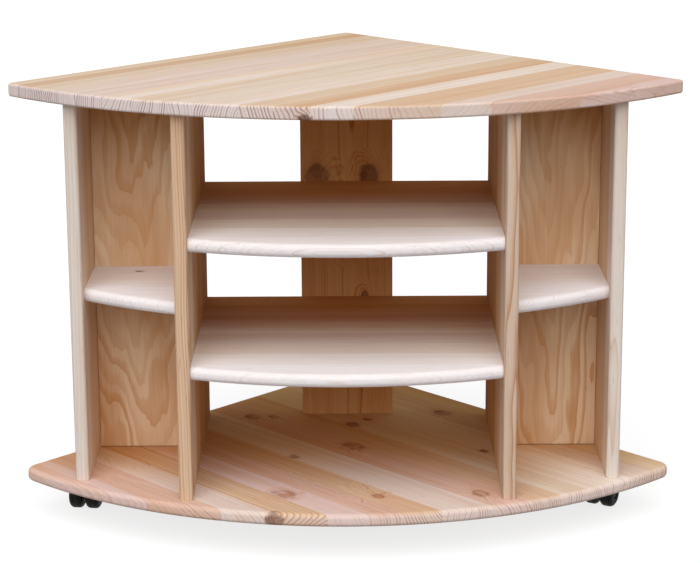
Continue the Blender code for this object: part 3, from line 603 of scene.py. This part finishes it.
zinc = metal("zinc_plate", paint(214, 217, 220), paint(172, 178, 188), 0.30, 420.0)
steel = metal("bright_steel", paint(198, 198, 200), paint(160, 160, 164), 0.24, 300.0)
swivels = {}
for corner in CORNERS:
    low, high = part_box(f"castor_kingpin_{corner}")
    centre = (low + high) / 2
    swivels[corner] = Vector((centre.x, centre.y, 0))
    plate_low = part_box(f"castor_plate_{corner}")[0].z
    plate_high = high.z
    body = bmesh.new()
    turn = Matrix.Translation((centre.x, centre.y, 0)) @ Matrix.Rotation(math.radians(45), 4, "Z")
    loops = []
    for inset, z in over_edge(plate_low, plate_high, PLATE_EDGE_ROUND):
        outline = rounded_square(PLATE_SIZE / 2 - inset, PLATE_CORNER_RADIUS - inset)
        loops.append([body.verts.new(turn @ Vector((x, y, z))) for x, y in outline])
    for first, second in zip(loops, loops[1:]):
        bridge(body, first, second)
    filled(body, loops[0])
    filled(body, loops[-1])
    for across, ahead in ((1, 0), (0, 1), (-1, 0), (0, -1)):
        x, y = centre.x + across * PLATE_SCREW_REACH, centre.y + ahead * PLATE_SCREW_REACH
        crossed_screw(body, Vector((x, y, plate_low)), UP, PLATE_SCREW_PROFILE)
    plate = linked(f"mounting_plate_{corner}", body)
    smoothed(plate)
    fitted(plate, zinc, f"castor_plate_{corner}")
    # The kingpin and the axle show as the CAD has them, in bright steel.
    for kind in ("kingpin", "axle"):
        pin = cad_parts[f"castor_{kind}_{corner}"]
        for material_slot in pin.material_slots:
            material_slot.material = steel

# Castor hoods: black nylon, moulded in one piece. A mudguard goes over both wheels from the
# boss round the kingpin, and a web between the wheels carries the axle.
CASTOR_TURN = {"front_left": 262, "front_right": 242, "back_left": 96, "back_right": 84}
TRAIL = 0.018
AXLE_HEIGHT = 0.019754
POCKET_RADIUS = 0.0208
HOOD_RADIUS = 0.024
HOOD_WIDTH = 0.028
HOOD_ROUND = 0.0014
HOOD_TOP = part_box("castor_hood_front_left")[1].z
HOOD_SKIRT = 0.0095
BOSS_RADIUS = 0.0085
SKIRT_CORNER = 0.0032
TAIL_ANGLE = math.radians(15)
WEB_THICKNESS = 0.003
HUB_RADIUS = 0.007
HOOD_STEPS = 40
INSIDE_GUARD = 0.001
NYLON_GLOSS = 0.10
MOULD_PITS = (2200.0,) * 3
DUST_CLOUDS = (160.0,) * 3
DUST_LIES = (0.2, 1.0)
DUST_SPAN = (0.35, 0.75, 0.0)
TREAD_DUST_SPAN = (0.3, 0.7, 0.02, 0.20)
SCUFF_SPAN = (0.3, 0.7)
MOULD_RELIEF = 0.00006
WEB_FROM, WEB_TO = math.radians(250), math.radians(340)
POCKET_EDGE, WEB_EDGE = 0.3, 0.25
SCUFFED = paint(12, 12, 12)
DUST = paint(92, 88, 82)
hub = (TRAIL, AXLE_HEIGHT)


def moulded_plastic(name, colour, sheen, dusty):
    """Black nylon from a mould: a fine pitted skin, with a little dust on what faces up."""
    w = Wiring(bpy.data.materials.new(name))
    spot = w.add("TexCoord")
    here = spot.outputs["Object"]
    pits = w.noise(w.stretched(here, MOULD_PITS), 2.0)
    clouds = w.noise(w.stretched(here, DUST_CLOUDS), 3.0)
    up = w.add("SeparateXYZ", spot.outputs["Normal"]).outputs["Z"]
    lying = w.between(clouds, *DUST_SPAN, dusty)
    dust = w.math("MULTIPLY", w.between(up, *DUST_LIES), lying)
    worn = w.add("Attribute", attribute_name="worn").outputs["Fac"]
    rolled_in = w.math("MULTIPLY", worn, w.between(clouds, *TREAD_DUST_SPAN))
    shade = w.mix(w.between(clouds, *SCUFF_SPAN), colour, SCUFFED)
    shade = w.mix(w.math("MAXIMUM", dust, rolled_in), shade, DUST)
    w.shader.inputs["Specular IOR Level"].default_value = NYLON_GLOSS
    return w.finish(shade, w.math("MULTIPLY_ADD", clouds, 0.2, sheen), pits, MOULD_RELIEF)


def slab(body, outline, half_width, frame_of, weights, chosen):
    """A flat part from its side outline, of twice the half width, in the castor's own frame."""
    sides = []
    for y in (-half_width, half_width):
        sides.append([body.verts.new(frame_of @ Vector((x, y, z))) for x, z in outline])
    bridge(body, *sides)
    for side in sides:
        rim = body.faces.new(side)
        for edge, width in zip(rim.edges, chosen):
            edge[weights] = width


def bevelled(piece, width, steps):
    """Rounds each edge that has a weight, to that share of the width."""
    bevel = piece.modifiers.new("moulded_edge", "BEVEL")
    bevel.limit_method = "WEIGHT"
    bevel.width = width
    bevel.segments = steps
    bevel.harden_normals = True
    piece.data.shade_smooth()
    piece.data.set_sharp_from_angle(angle=math.radians(30))


# Side outlines: the guard goes up over the boss, back round the outside, and home inside it.
low_end = math.pi + math.asin((AXLE_HEIGHT - HOOD_SKIRT) / POCKET_RADIUS)
high_end = math.acos((BOSS_RADIUS - TRAIL) / HOOD_RADIUS)
guard = [(-BOSS_RADIUS, HOOD_SKIRT + SKIRT_CORNER)]
guard += [(-BOSS_RADIUS, HOOD_TOP), (BOSS_RADIUS, HOOD_TOP)]
guard += arc(hub, HOOD_RADIUS, high_end, TAIL_ANGLE, HOOD_STEPS)
outer_points = len(guard)
guard += arc(hub, POCKET_RADIUS, TAIL_ANGLE, low_end, HOOD_STEPS)
guard.append((SKIRT_CORNER - BOSS_RADIUS, HOOD_SKIRT))
on_outside = [i < outer_points - 1 or i >= len(guard) - 2 for i in range(len(guard))]
guard_rounding = [1.0 if outside else POCKET_EDGE for outside in on_outside]
web = arc(hub, POCKET_RADIUS + INSIDE_GUARD, TAIL_ANGLE, low_end, HOOD_STEPS)
web += arc(hub, HUB_RADIUS, WEB_FROM, WEB_TO, CORNER_STEPS)
black_hood = moulded_plastic("black_hood", paint(7, 7, 7), 0.42, 0.10)
castor_frames = {}
for corner in CORNERS:
    turn = Matrix.Rotation(math.radians(CASTOR_TURN[corner]), 4, "Z")
    castor_frames[corner] = Matrix.Translation(swivels[corner]) @ turn
    body = bmesh.new()
    weights = body.edges.layers.float.new("bevel_weight_edge")
    slab(body, guard, HOOD_WIDTH / 2, castor_frames[corner], weights, guard_rounding)
    slab(body, web, WEB_THICKNESS / 2, castor_frames[corner], weights, [WEB_EDGE] * len(web))
    hood = linked(f"hood_{corner}", body)
    bevelled(hood, HOOD_ROUND, 4)
    fitted(hood, black_hood, f"castor_hood_{corner}", f"castor_{corner}")

# Castor wheels: hard black nylon, two on each axle, one each side of the web. Each has a
# rounded shoulder, a shallow ring moulded in its side, and a cap pressed into the middle.
WHEEL_RADIUS = 0.01972
WHEEL_WIDTH = 0.0193
WHEEL_SHOULDER = 0.0065
WHEEL_INNER_FACE = 0.002
BORE_RADIUS = 0.0033
BORE_DEPTH = 0.015
WHEEL_STEPS = 72
TREAD_DEPTH = 0.0004
SHOULDER_STEPS = 8
rise = WHEEL_RADIUS - WHEEL_SHOULDER
cap_and_ring = [
    (0, 0.0006), (0.0040, 0.0007), (0.0066, 0.0010), (0.0071, 0.0017), (0.0079, 0.0017),
    (0.0084, 0.0003), (0.0090, 0.0), (0.0106, 0.0), (0.0109, 0.0004), (0.0118, 0.0004),
    (0.0121, 0.0),
]
wheel_profile = [(radius, WHEEL_WIDTH - sunk) for radius, sunk in cap_and_ring]
outer_turn, inner_turn = (rise, WHEEL_WIDTH - WHEEL_SHOULDER), (rise, WHEEL_SHOULDER)
wheel_profile += arc(outer_turn, WHEEL_SHOULDER, math.pi / 2, 0, SHOULDER_STEPS)
wheel_profile += arc(inner_turn, WHEEL_SHOULDER, 0, -math.pi / 2, SHOULDER_STEPS)
wheel_profile += [(BORE_RADIUS, 0), (BORE_RADIUS, BORE_DEPTH), (0, BORE_DEPTH)]
black_wheel = moulded_plastic("black_wheel", paint(5, 5, 5), 0.38, 0.06)
for corner in CORNERS:
    for hand, side in (("a", -1), ("b", 1)):
        body = bmesh.new()
        centre = castor_frames[corner] @ Vector((TRAIL, side * WHEEL_INNER_FACE, AXLE_HEIGHT))
        outward = castor_frames[corner].to_3x3() @ Vector((0, side, 0))
        turned(body, centre, outward, wheel_profile, WHEEL_STEPS)
        wheel = linked(f"wheel_{corner}_{hand}", body)
        worn = wheel.data.attributes.new("worn", "FLOAT", "POINT")
        for i, point in enumerate(wheel.data.vertices):
            off = point.co - centre
            radius = (off - outward * off.dot(outward)).length
            worn.data[i].value = 1.0 if radius > WHEEL_RADIUS - TREAD_DEPTH else 0.0
        smoothed(wheel, 40)
        node, body_name = f"castor_wheel_{corner}_{hand}", f"wheel_{corner}_{hand}"
        fitted(wheel, black_wheel, node, body_name)

# Uprights: four standing boards, two beside the centre bay and two near the wide corners.
# Each is glued up from a few staves, with its two front arrises rounded by hand.
UPRIGHT_ARRIS = 0.004
SAME = 0.0001
OAT = paint(236, 226, 218)
SAND = paint(224, 204, 187)
TAN = paint(221, 189, 161)
FLAT = (0.000, 0.016, 0.045)
UPRIGHT_TONES = {
    "outer_upright_left": [OAT, STRAW, STRAW, PEACH],
    "inner_upright_left": [PEACH, STRAW, PEACH, STRAW, PEACH, STRAW, PEACH, TAN],
    "inner_upright_right": [SAND, STRAW, PEACH, STRAW, PEACH, STRAW, PEACH, TAN],
    "outer_upright_right": [OAT, STRAW, STRAW, PEACH],
}
UPRIGHT_STAVE = 0.042


def sawn_board(name, outline, low, high):
    """A board cut to an outline, between two heights."""
    body = bmesh.new()
    ends = [[body.verts.new((x, y, z)) for x, y in outline] for z in (low, high)]
    bridge(body, *ends)
    for end in ends:
        filled(body, end)
    return linked(name, body)


def sanded(board, width, chosen, steps=ROUND_STEPS):
    """Rounds the edges that chosen(a, b) picks, where a and b are the ends of the edge."""
    weights = board.data.attributes.new("bevel_weight_edge", "FLOAT", "EDGE")
    points = board.data.vertices
    for edge in board.data.edges:
        a, b = (points[i].co for i in edge.vertices)
        weights.data[edge.index].value = 1.0 if chosen(a, b) else 0.0
    bevelled(board, width, steps)


def level(a, b):
    """Picks the edges that run level, round the two faces of a board that lies flat."""
    return abs(a.z - b.z) < SAME


for number, (name, tones) in enumerate(UPRIGHT_TONES.items()):
    low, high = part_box(name)
    back_near = back_far = high.y
    if name.startswith("outer"):
        back_far = high.y - (high.x - low.x)
    inner_x, outer_x = (high.x, low.x) if high.x < 0 else (low.x, high.x)
    outline = [(inner_x, low.y), (outer_x, low.y), (outer_x, back_far), (inner_x, back_near)]
    board = sawn_board(name.replace("upright", "side"), outline, low.z, high.z)
    sanded(board, UPRIGHT_ARRIS, lambda a, b: not level(a, b) and abs(a.y - low.y) < SAME)
    count = math.ceil((high.y - low.y) / UPRIGHT_STAVE)
    edges = [low.y + UPRIGHT_STAVE * i for i in range(count)] + [high.y]
    tones = [tones[i % len(tones)] for i in range(len(edges) - 1)]
    # Painted shade: the inner uprights darken towards the back.
    if name.startswith("inner"):
        contrast, painted_shade = 1.1, (-0.22, -0.08, PAINTED_SHADE_TINT)
    else:
        contrast, painted_shade = 0.35, None
    wood = pine(
        f"pine_{name}", (low, high), (0, 0, 1), (0, 1, 0), edges, tones, bold=(0,),
        seed=20 + 9 * number, contrast=contrast, painted_shade=painted_shade, pith=FLAT,
    )
    fitted(board, wood, name)

# Side bay backs: thin plywood, its face veneer peeled round the log, so the growth rings
# open into large wavy flames. Each one stands between an inner and an outer upright.
PANEL_ARRIS = 0.0006
PALE_VENEER = paint(246, 222, 190)
MID_VENEER = paint(228, 190, 150)
DARK_VENEER = paint(214, 156, 98)
# Tints for a painted shadow of the gap at the panel's foot, with some glue, and for painted shade
# near its top.
GLUE_AND_SHADOW_TINT = (0.30, 0.20, 0.14)
GLUE_AND_SHADOW_EDGE = 0.0018
SHADED_FROM, SHADED_TO = 0.49, 0.59
VENEER_SWAY = 0.06
VENEER_SWAYS = (3.0, 1.0, 5.0)
VENEER_RIPPLES = (110.0, 1.0, 20.0)
VENEER_PATCHES = (14.0, 1.0, 4.0)
VENEER_FIBRES = (620.0, 620.0, 12.0)
VENEER_FIBRE_SPAN = (0.3, 0.7, 0.0, 0.5)
VENEER_PATCH_SPAN = (0.35, 0.65)
VENEER_RELIEF = 0.0002
FLAME_SPREAD, FLAME_LEAST = 0.7, 0.3
PEEL_WAVES = 4.0
PEEL_RIPPLE = 0.6
FLAME = [(0.0, 0.35), (0.08, 0.0), (0.45, 0.05), (0.62, 0.55), (0.93, 0.80), (1.0, 1.0)]


def veneer(name, foot, centre, cone, tallness, fineness, seed):
    """Peeled pine. The cones of the log's growth open into nested flames about the centre.
    Painted shade darkens the panel near its top, under the top board, and a painted shadow of the
    gap at its foot, with some glue, darkens its lower edge. cone and tallness are the growth lines
    in a metre across and up, and fineness how wavy they are."""
    w = Wiring(bpy.data.materials.new(name))
    here = w.add("TexCoord").outputs["Object"]
    parts = w.add("SeparateXYZ", here)
    x, z = parts.outputs["X"], parts.outputs["Z"]
    sway = w.noise(w.stretched(here, VENEER_SWAYS, (seed, 0.0, 0.0)), 1.0)
    middle = w.math("MULTIPLY_ADD", w.math("SUBTRACT", sway, 0.5), VENEER_SWAY, centre)
    off = w.math("ABSOLUTE", w.math("SUBTRACT", x, middle))
    peel = w.noise(w.stretched(here, (fineness, 1.0, 6.0), (seed, 0.0, seed)), 1.5)
    ripple = w.noise(w.stretched(here, VENEER_RIPPLES, (0.0, 0.0, seed)), 2.0)
    # Growth lines, counted up and outwards from the middle of the flames.
    count = w.math("MULTIPLY", off, cone)
    count = w.math("MULTIPLY_ADD", z, -tallness, count)
    count = w.math("MULTIPLY_ADD", peel, PEEL_WAVES, count)
    count = w.math("MULTIPLY_ADD", ripple, PEEL_RIPPLE, count)
    part = w.math("FRACT", count)
    year = w.chance(w.math("FLOOR", count))
    bold = w.math("MULTIPLY_ADD", year, FLAME_SPREAD, FLAME_LEAST)
    flame = w.math("MULTIPLY", w.ramp(part, FLAME), bold)
    patches = w.noise(w.stretched(here, VENEER_PATCHES, (seed, 3.0, 0.0)), 2.0)
    colour = w.mix(w.between(patches, *VENEER_PATCH_SPAN), PALE_VENEER, MID_VENEER)
    colour = w.mix(flame, colour, DARK_VENEER)
    fibres = w.noise(w.stretched(here, VENEER_FIBRES), 3.0)
    colour = w.tinted(w.between(fibres, *VENEER_FIBRE_SPAN), colour, FIBRE_TINT)
    # Painted shade near the top of the panel, under the top board.
    colour = w.tinted(w.between(z, SHADED_FROM, SHADED_TO), colour, PAINTED_SHADE_TINT)
    # Painted shadow of the gap at the panel's foot, with some glue: a thin dark band along its
    # lower edge.
    colour = w.tinted(w.between(z, foot, foot + GLUE_AND_SHADOW_EDGE, 1.0, 0.0), colour, GLUE_AND_SHADOW_TINT)
    w.shader.inputs["Specular IOR Level"].default_value = BARE_WOOD_GLOSS
    return w.finish(colour, w.math("MULTIPLY_ADD", fibres, -0.12, 0.88), fibres, VENEER_RELIEF)


VENEERS = {
    "left": {"centre": -0.292, "cone": 46.0, "tallness": 15.0, "fineness": 26.0, "seed": 4.0},
    "right": {"centre": 0.282, "cone": 62.0, "tallness": 11.0, "fineness": 30.0, "seed": 11.0},
}
for hand, figure in VENEERS.items():
    low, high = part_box(f"side_back_{hand}")
    outline = [(low.x, low.y), (high.x, low.y), (high.x, high.y), (low.x, high.y)]
    panel = sawn_board(f"back_panel_{hand}", outline, low.z, high.z)
    sanded(panel, PANEL_ARRIS, lambda a, b: True, 2)
    fitted(panel, veneer(f"veneer_{hand}", low.z, **figure), f"side_back_{hand}")

# Shelves: two bowed shelves between the inner uprights and one in each side bay.
# The front edge is turned over to a full round nose, and the staves run across the stand.
SHELF_RADIUS = {"centre": 0.616, "side": 0.607}
SHELF_NOSE_ROUND = 0.0082
NOSE_STEPS = 10
BOW_STEPS = 40
SHELF_STAVE = 0.048
FROST = paint(252, 248, 252)
MILK = paint(250, 245, 243)
# Painted shade: the centre shelves darken towards the back, under the boards above.
SHELF_BACK_SHADE_TINT = (0.66, 0.31, 0.10)
CENTRE_SHELF_TONES = [FROST, MILK, PEARL, LILAC, PEARL, LILAC, PEARL]
CENTRE_SHELF_SHADE = (-0.17, 0.035, SHELF_BACK_SHADE_TINT)
SIDE_SHELF_TONES = [FROST, FROST, MILK]
SHELF_KNOTS = {"side_shelf_left": [((-0.2877, -0.0791, 0.3354), (0.3, 0.0, 1), 0.0032, 0.03, 0.9)]}


def bowed(low, high, radius, steps):
    """Outline of a shelf inside a CAD box, with its front on an arc about the back corner."""
    start, end = math.acos(low.x / radius), math.acos(high.x / radius)
    front = [plan(x, d) for x, d in arc((0, 0), radius, end, start, steps)]
    return [(high.x, high.y)] + front + [(low.x, high.y)]


SHELVES = {
    "lower_shelf": ("centre", CENTRE_SHELF_TONES, 71, CENTRE_SHELF_SHADE),
    "upper_shelf": ("centre", CENTRE_SHELF_TONES, 84, CENTRE_SHELF_SHADE),
    "side_shelf_left": ("side", SIDE_SHELF_TONES, 93, None),
    "side_shelf_right": ("side", SIDE_SHELF_TONES, 99, None),
}
for name, (kind, tones, seed, painted_shade) in SHELVES.items():
    low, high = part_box(name)
    radius = SHELF_RADIUS[kind]
    outline = bowed(low, high, radius, BOW_STEPS)
    board = sawn_board(name.replace("shelf", "tier"), outline, low.z, high.z)

    def on_nose(a, b):
        ends = [math.hypot(p.x, plan_centre - p.y) for p in (a, b)]
        return level(a, b) and all(abs(r - radius) < SAME for r in ends)

    sanded(board, SHELF_NOSE_ROUND, on_nose, NOSE_STEPS)
    count = math.ceil((high.y - low.y) / SHELF_STAVE)
    edges = [low.y + SHELF_STAVE * i for i in range(count)] + [high.y]
    tones = [tones[i % len(tones)] for i in range(len(edges) - 1)]
    wood = pine(
        f"pine_{name}", (low, high), (1, 0, 0), (0, 1, 0), edges, tones, SHELF_KNOTS.get(name, ()),
        seed=seed, contrast=0.40, warmth=0.12 if kind == "centre" else 0.0, painted_shade=painted_shade, fineness=1.5,
    )
    fitted(board, wood, name)

# Back plank: one wide plank behind the centre bay, with two big knots above the upper
# shelf. It is held by dowels at the top and screws at the foot and at each shelf.
PLANK_ARRIS = 0.0015
AMBER = paint(236, 186, 126)
low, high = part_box("back_plank")
AHEAD = Vector((0, -1, 0))
PLANK_KNOTS = [
    ((-0.043, low.y, 0.4335), (0.7, 1, 0.1), 0.0125, 0.04, 0.7),
    ((0.0327, low.y, 0.4344), (-0.5, 1, 0.1), 0.0115, 0.04, 0.9),
    ((0.026, low.y, 0.2535), (0.0, 1, 0.0), 0.005, 0.04, 0.6),
    ((-0.010, low.y, 0.335), (0.0, 1, 0.0), 0.020, 0.04, -1),
]
plank_sinks = []
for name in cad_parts:
    if name.startswith("screw_plank") and "shelf" in name:
        screw_low, screw_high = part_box(name)
        middle = (screw_low + screw_high) / 2
        plank_sinks.append(Vector((middle.x, high.y, middle.z)))
outlines = []
for inset, y in reversed(over_edge(low.y, high.y, PLANK_ARRIS)):
    left, right = low.x + inset, high.x - inset
    outlines.append([(left, y, low.z), (right, y, low.z), (right, y, high.z), (left, y, high.z)])
plank = lofted_board("plank", outlines, plank_sinks, AHEAD)
plank_pine = pine(
    "pine_plank", (low, high), (0, 0, 1), (1, 0, 0), [low.x, high.x], [AMBER], PLANK_KNOTS, (0,),
    seed=131, contrast=0.30, pith=FLAT, fineness=1.7,
)
fitted(plank, plank_pine, "back_plank")

# Wood screws: zinc-plated countersunk screws, up through the base into the uprights and
# the plank, and through the plank into the two centre shelves.
SCREW_LENGTH = 0.045
SCREW_POINT = 0.004
HEAD_RIM = 0.0002
WOOD_SCREW_RECESS = 1.3
tip = SCREW_SUNK + SCREW_LENGTH
SCREW_PROFILE = [
    (0, tip), (SCREW_RADIUS, tip - SCREW_POINT), (SCREW_RADIUS, SCREW_SUNK + SCREW_HEAD_HEIGHT),
    (SCREW_HEAD_RADIUS, SCREW_SUNK + HEAD_RIM), (SCREW_HEAD_RADIUS - HEAD_RIM, SCREW_SUNK),
]
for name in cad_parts:
    if not name.startswith("screw"):
        continue
    low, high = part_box(name)
    middle = (low + high) / 2
    if "shelf" in name:
        face, inward = Vector((middle.x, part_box("back_plank")[1].y, middle.z)), AHEAD
    else:
        face, inward = Vector((middle.x, middle.y, BASE_LOW)), UP
    body = bmesh.new()
    crossed_screw(body, face, inward, SCREW_PROFILE, WOOD_SCREW_RECESS)
    screw = linked(name.replace("screw", "wood_screw"), body)
    smoothed(screw)
    fitted(screw, zinc, name)

# Top board: a quarter circle like the base, with a tighter edge and sharper corners.
# Its staves run along the left back edge, so the rim shows end grain at the left and middle.
TOP_LOW, TOP_HIGH = (corner.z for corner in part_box("top_board"))
TOP_CORNER_RADIUS = 0.0063
TOP_EDGE_ROUND = 0.0035
# Painted shade: the top board's colour darkens a little towards the back.
TOP_BACK_SHADE_TINT = (0.93, 0.90, 0.84)
TOP_EDGES = [
    -0.225, -0.203, -0.178, -0.136, -0.095, -0.054, -0.0136, 0.037, 0.0686, 0.120,
    0.1565, 0.1925, 0.2322, 0.267, 0.302, 0.336, 0.385, 0.415,
]
TOP_TONES = [
    CREAM, TAN, CREAM, LILAC, LILAC, PEARL, CREAM, CREAM, PEARL,
    STRAW, PEACH, PEARL, PEACH, PEACH, LILAC, ROSE, MAUVE,
]
TOP_BOLD = (2, 10)
TOP_KNOTS = [
    ((-0.0522, -0.3162, 0.5935), (-0.1, 1, 0.1), 0.006, 0.012, 1.0),
    ((0.395, -0.170, 0.600), (0.3, 1, 0), 0.010, 0.03, -1),
]
top_pine = pine(
    "pine_top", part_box("top_board"), (1, 1, 0), (1, -1, 0), TOP_EDGES, TOP_TONES, TOP_KNOTS,
    TOP_BOLD, seed=7, contrast=0.55, painted_shade=(-0.16, 0.24, TOP_BACK_SHADE_TINT),
)
top = lofted_board(
    "top",
    [
        [(x, y, z) for x, y in sector(TOP_CORNER_RADIUS, inset)]
        for inset, z in over_edge(TOP_LOW, TOP_HIGH, TOP_EDGE_ROUND)
    ],
)
fitted(top, top_pine, "top_board")

# Floor: a plain pale floor that runs white to the eye, but keeps the stand's shadow.
FLOOR_RADIUS = 60.0
FLOOR_STEPS = 64
FLOOR_GLOW = 0.78
FLOOR_TONES = (grey(0.30), grey(0.34))
body = bmesh.new()
filled(body, ring(body, Vector((0, 0, 0)), UP, FLOOR_RADIUS, FLOOR_STEPS))
floor = linked("floor", body)


def seen_straight(w):
    """One for what the camera sees, straight or in metal, and nothing for light on the stand."""
    rays = w.add("LightPath").outputs
    seen = w.math("MAXIMUM", rays["Is Camera Ray"], rays["Is Glossy Ray"])
    return w.math("MAXIMUM", seen, rays["Is Transmission Ray"])


w = Wiring(bpy.data.materials.new("pale_floor"))
mottle = w.noise(w.stretched(w.add("TexCoord").outputs["Object"], (3.0,) * 3), 3.0)
w.join(w.mix(mottle, *FLOOR_TONES), w.shader.inputs["Base Color"])
w.shader.inputs["Roughness"].default_value = 0.9
w.shader.inputs["Specular IOR Level"].default_value = 0.0
glow = w.add("Emission", grey(1.0), w.math("MULTIPLY", seen_straight(w), FLOOR_GLOW))
both = w.add("AddShader", w.shader.outputs[0], glow.outputs[0])
w.join(both.outputs[0], w.tree.nodes["Material Output"].inputs["Surface"])
floor.data.materials.append(w.owner)

# Light: a broad soft lamp from above and ahead, and an even room that is brighter overhead.
ROOM_LOW, ROOM_HIGH = 0.12, 0.56
ROOM_TURNS_AT = 0.85
ROOM_BEHIND = 0.6
BEHIND_FROM = 0.6
LAMP_STRENGTH = 2.3
LAMP_ANGLE = math.radians(70)
LAMP_WAY = Vector((0.10, 1.0, -1.05))
world = bpy.data.worlds.new("room")
bpy.context.scene.world = world
w = Wiring(world)
way = w.add("SeparateXYZ", w.add("TexCoord").outputs["Generated"]).outputs
room = w.between(way["Z"], 0.0, ROOM_TURNS_AT, ROOM_LOW, ROOM_HIGH)
room = w.math("MULTIPLY", room, w.between(way["Y"], 0.0, BEHIND_FROM, 1.0, ROOM_BEHIND))
brightness = w.math("MULTIPLY_ADD", seen_straight(w), w.math("SUBTRACT", 1.0, room), room)
w.join(grey(1.0), w.tree.nodes["Background"].inputs["Color"])
w.join(brightness, w.tree.nodes["Background"].inputs["Strength"])
lamp = bpy.data.lights.new("front_light", "SUN")
lamp.energy = LAMP_STRENGTH
lamp.angle = LAMP_ANGLE
holder = bpy.data.objects.new("front_light", lamp)
holder.rotation_euler = LAMP_WAY.to_track_quat("-Z", "Y").to_euler()
bpy.context.scene.collection.objects.link(holder)

# Camera: a little above the top board, looking slightly down at the bowed front.
EYE_PLACE = (0.0062, -2.846, 1.0729)
EYE_TILT, EYE_LEAN, EYE_TURN = 0.2320, 0.0048, -0.0007
view = bpy.data.cameras.new("camera")
view.lens = 106.04
view.shift_y = -0.10
eye = bpy.data.objects.new("camera", view)
eye.location = EYE_PLACE
eye.rotation_euler = (math.pi / 2 - EYE_TILT, EYE_LEAN, EYE_TURN)
bpy.context.scene.collection.objects.link(eye)
bpy.context.scene.camera = eye
bpy.context.scene.view_settings.view_transform = "Standard"
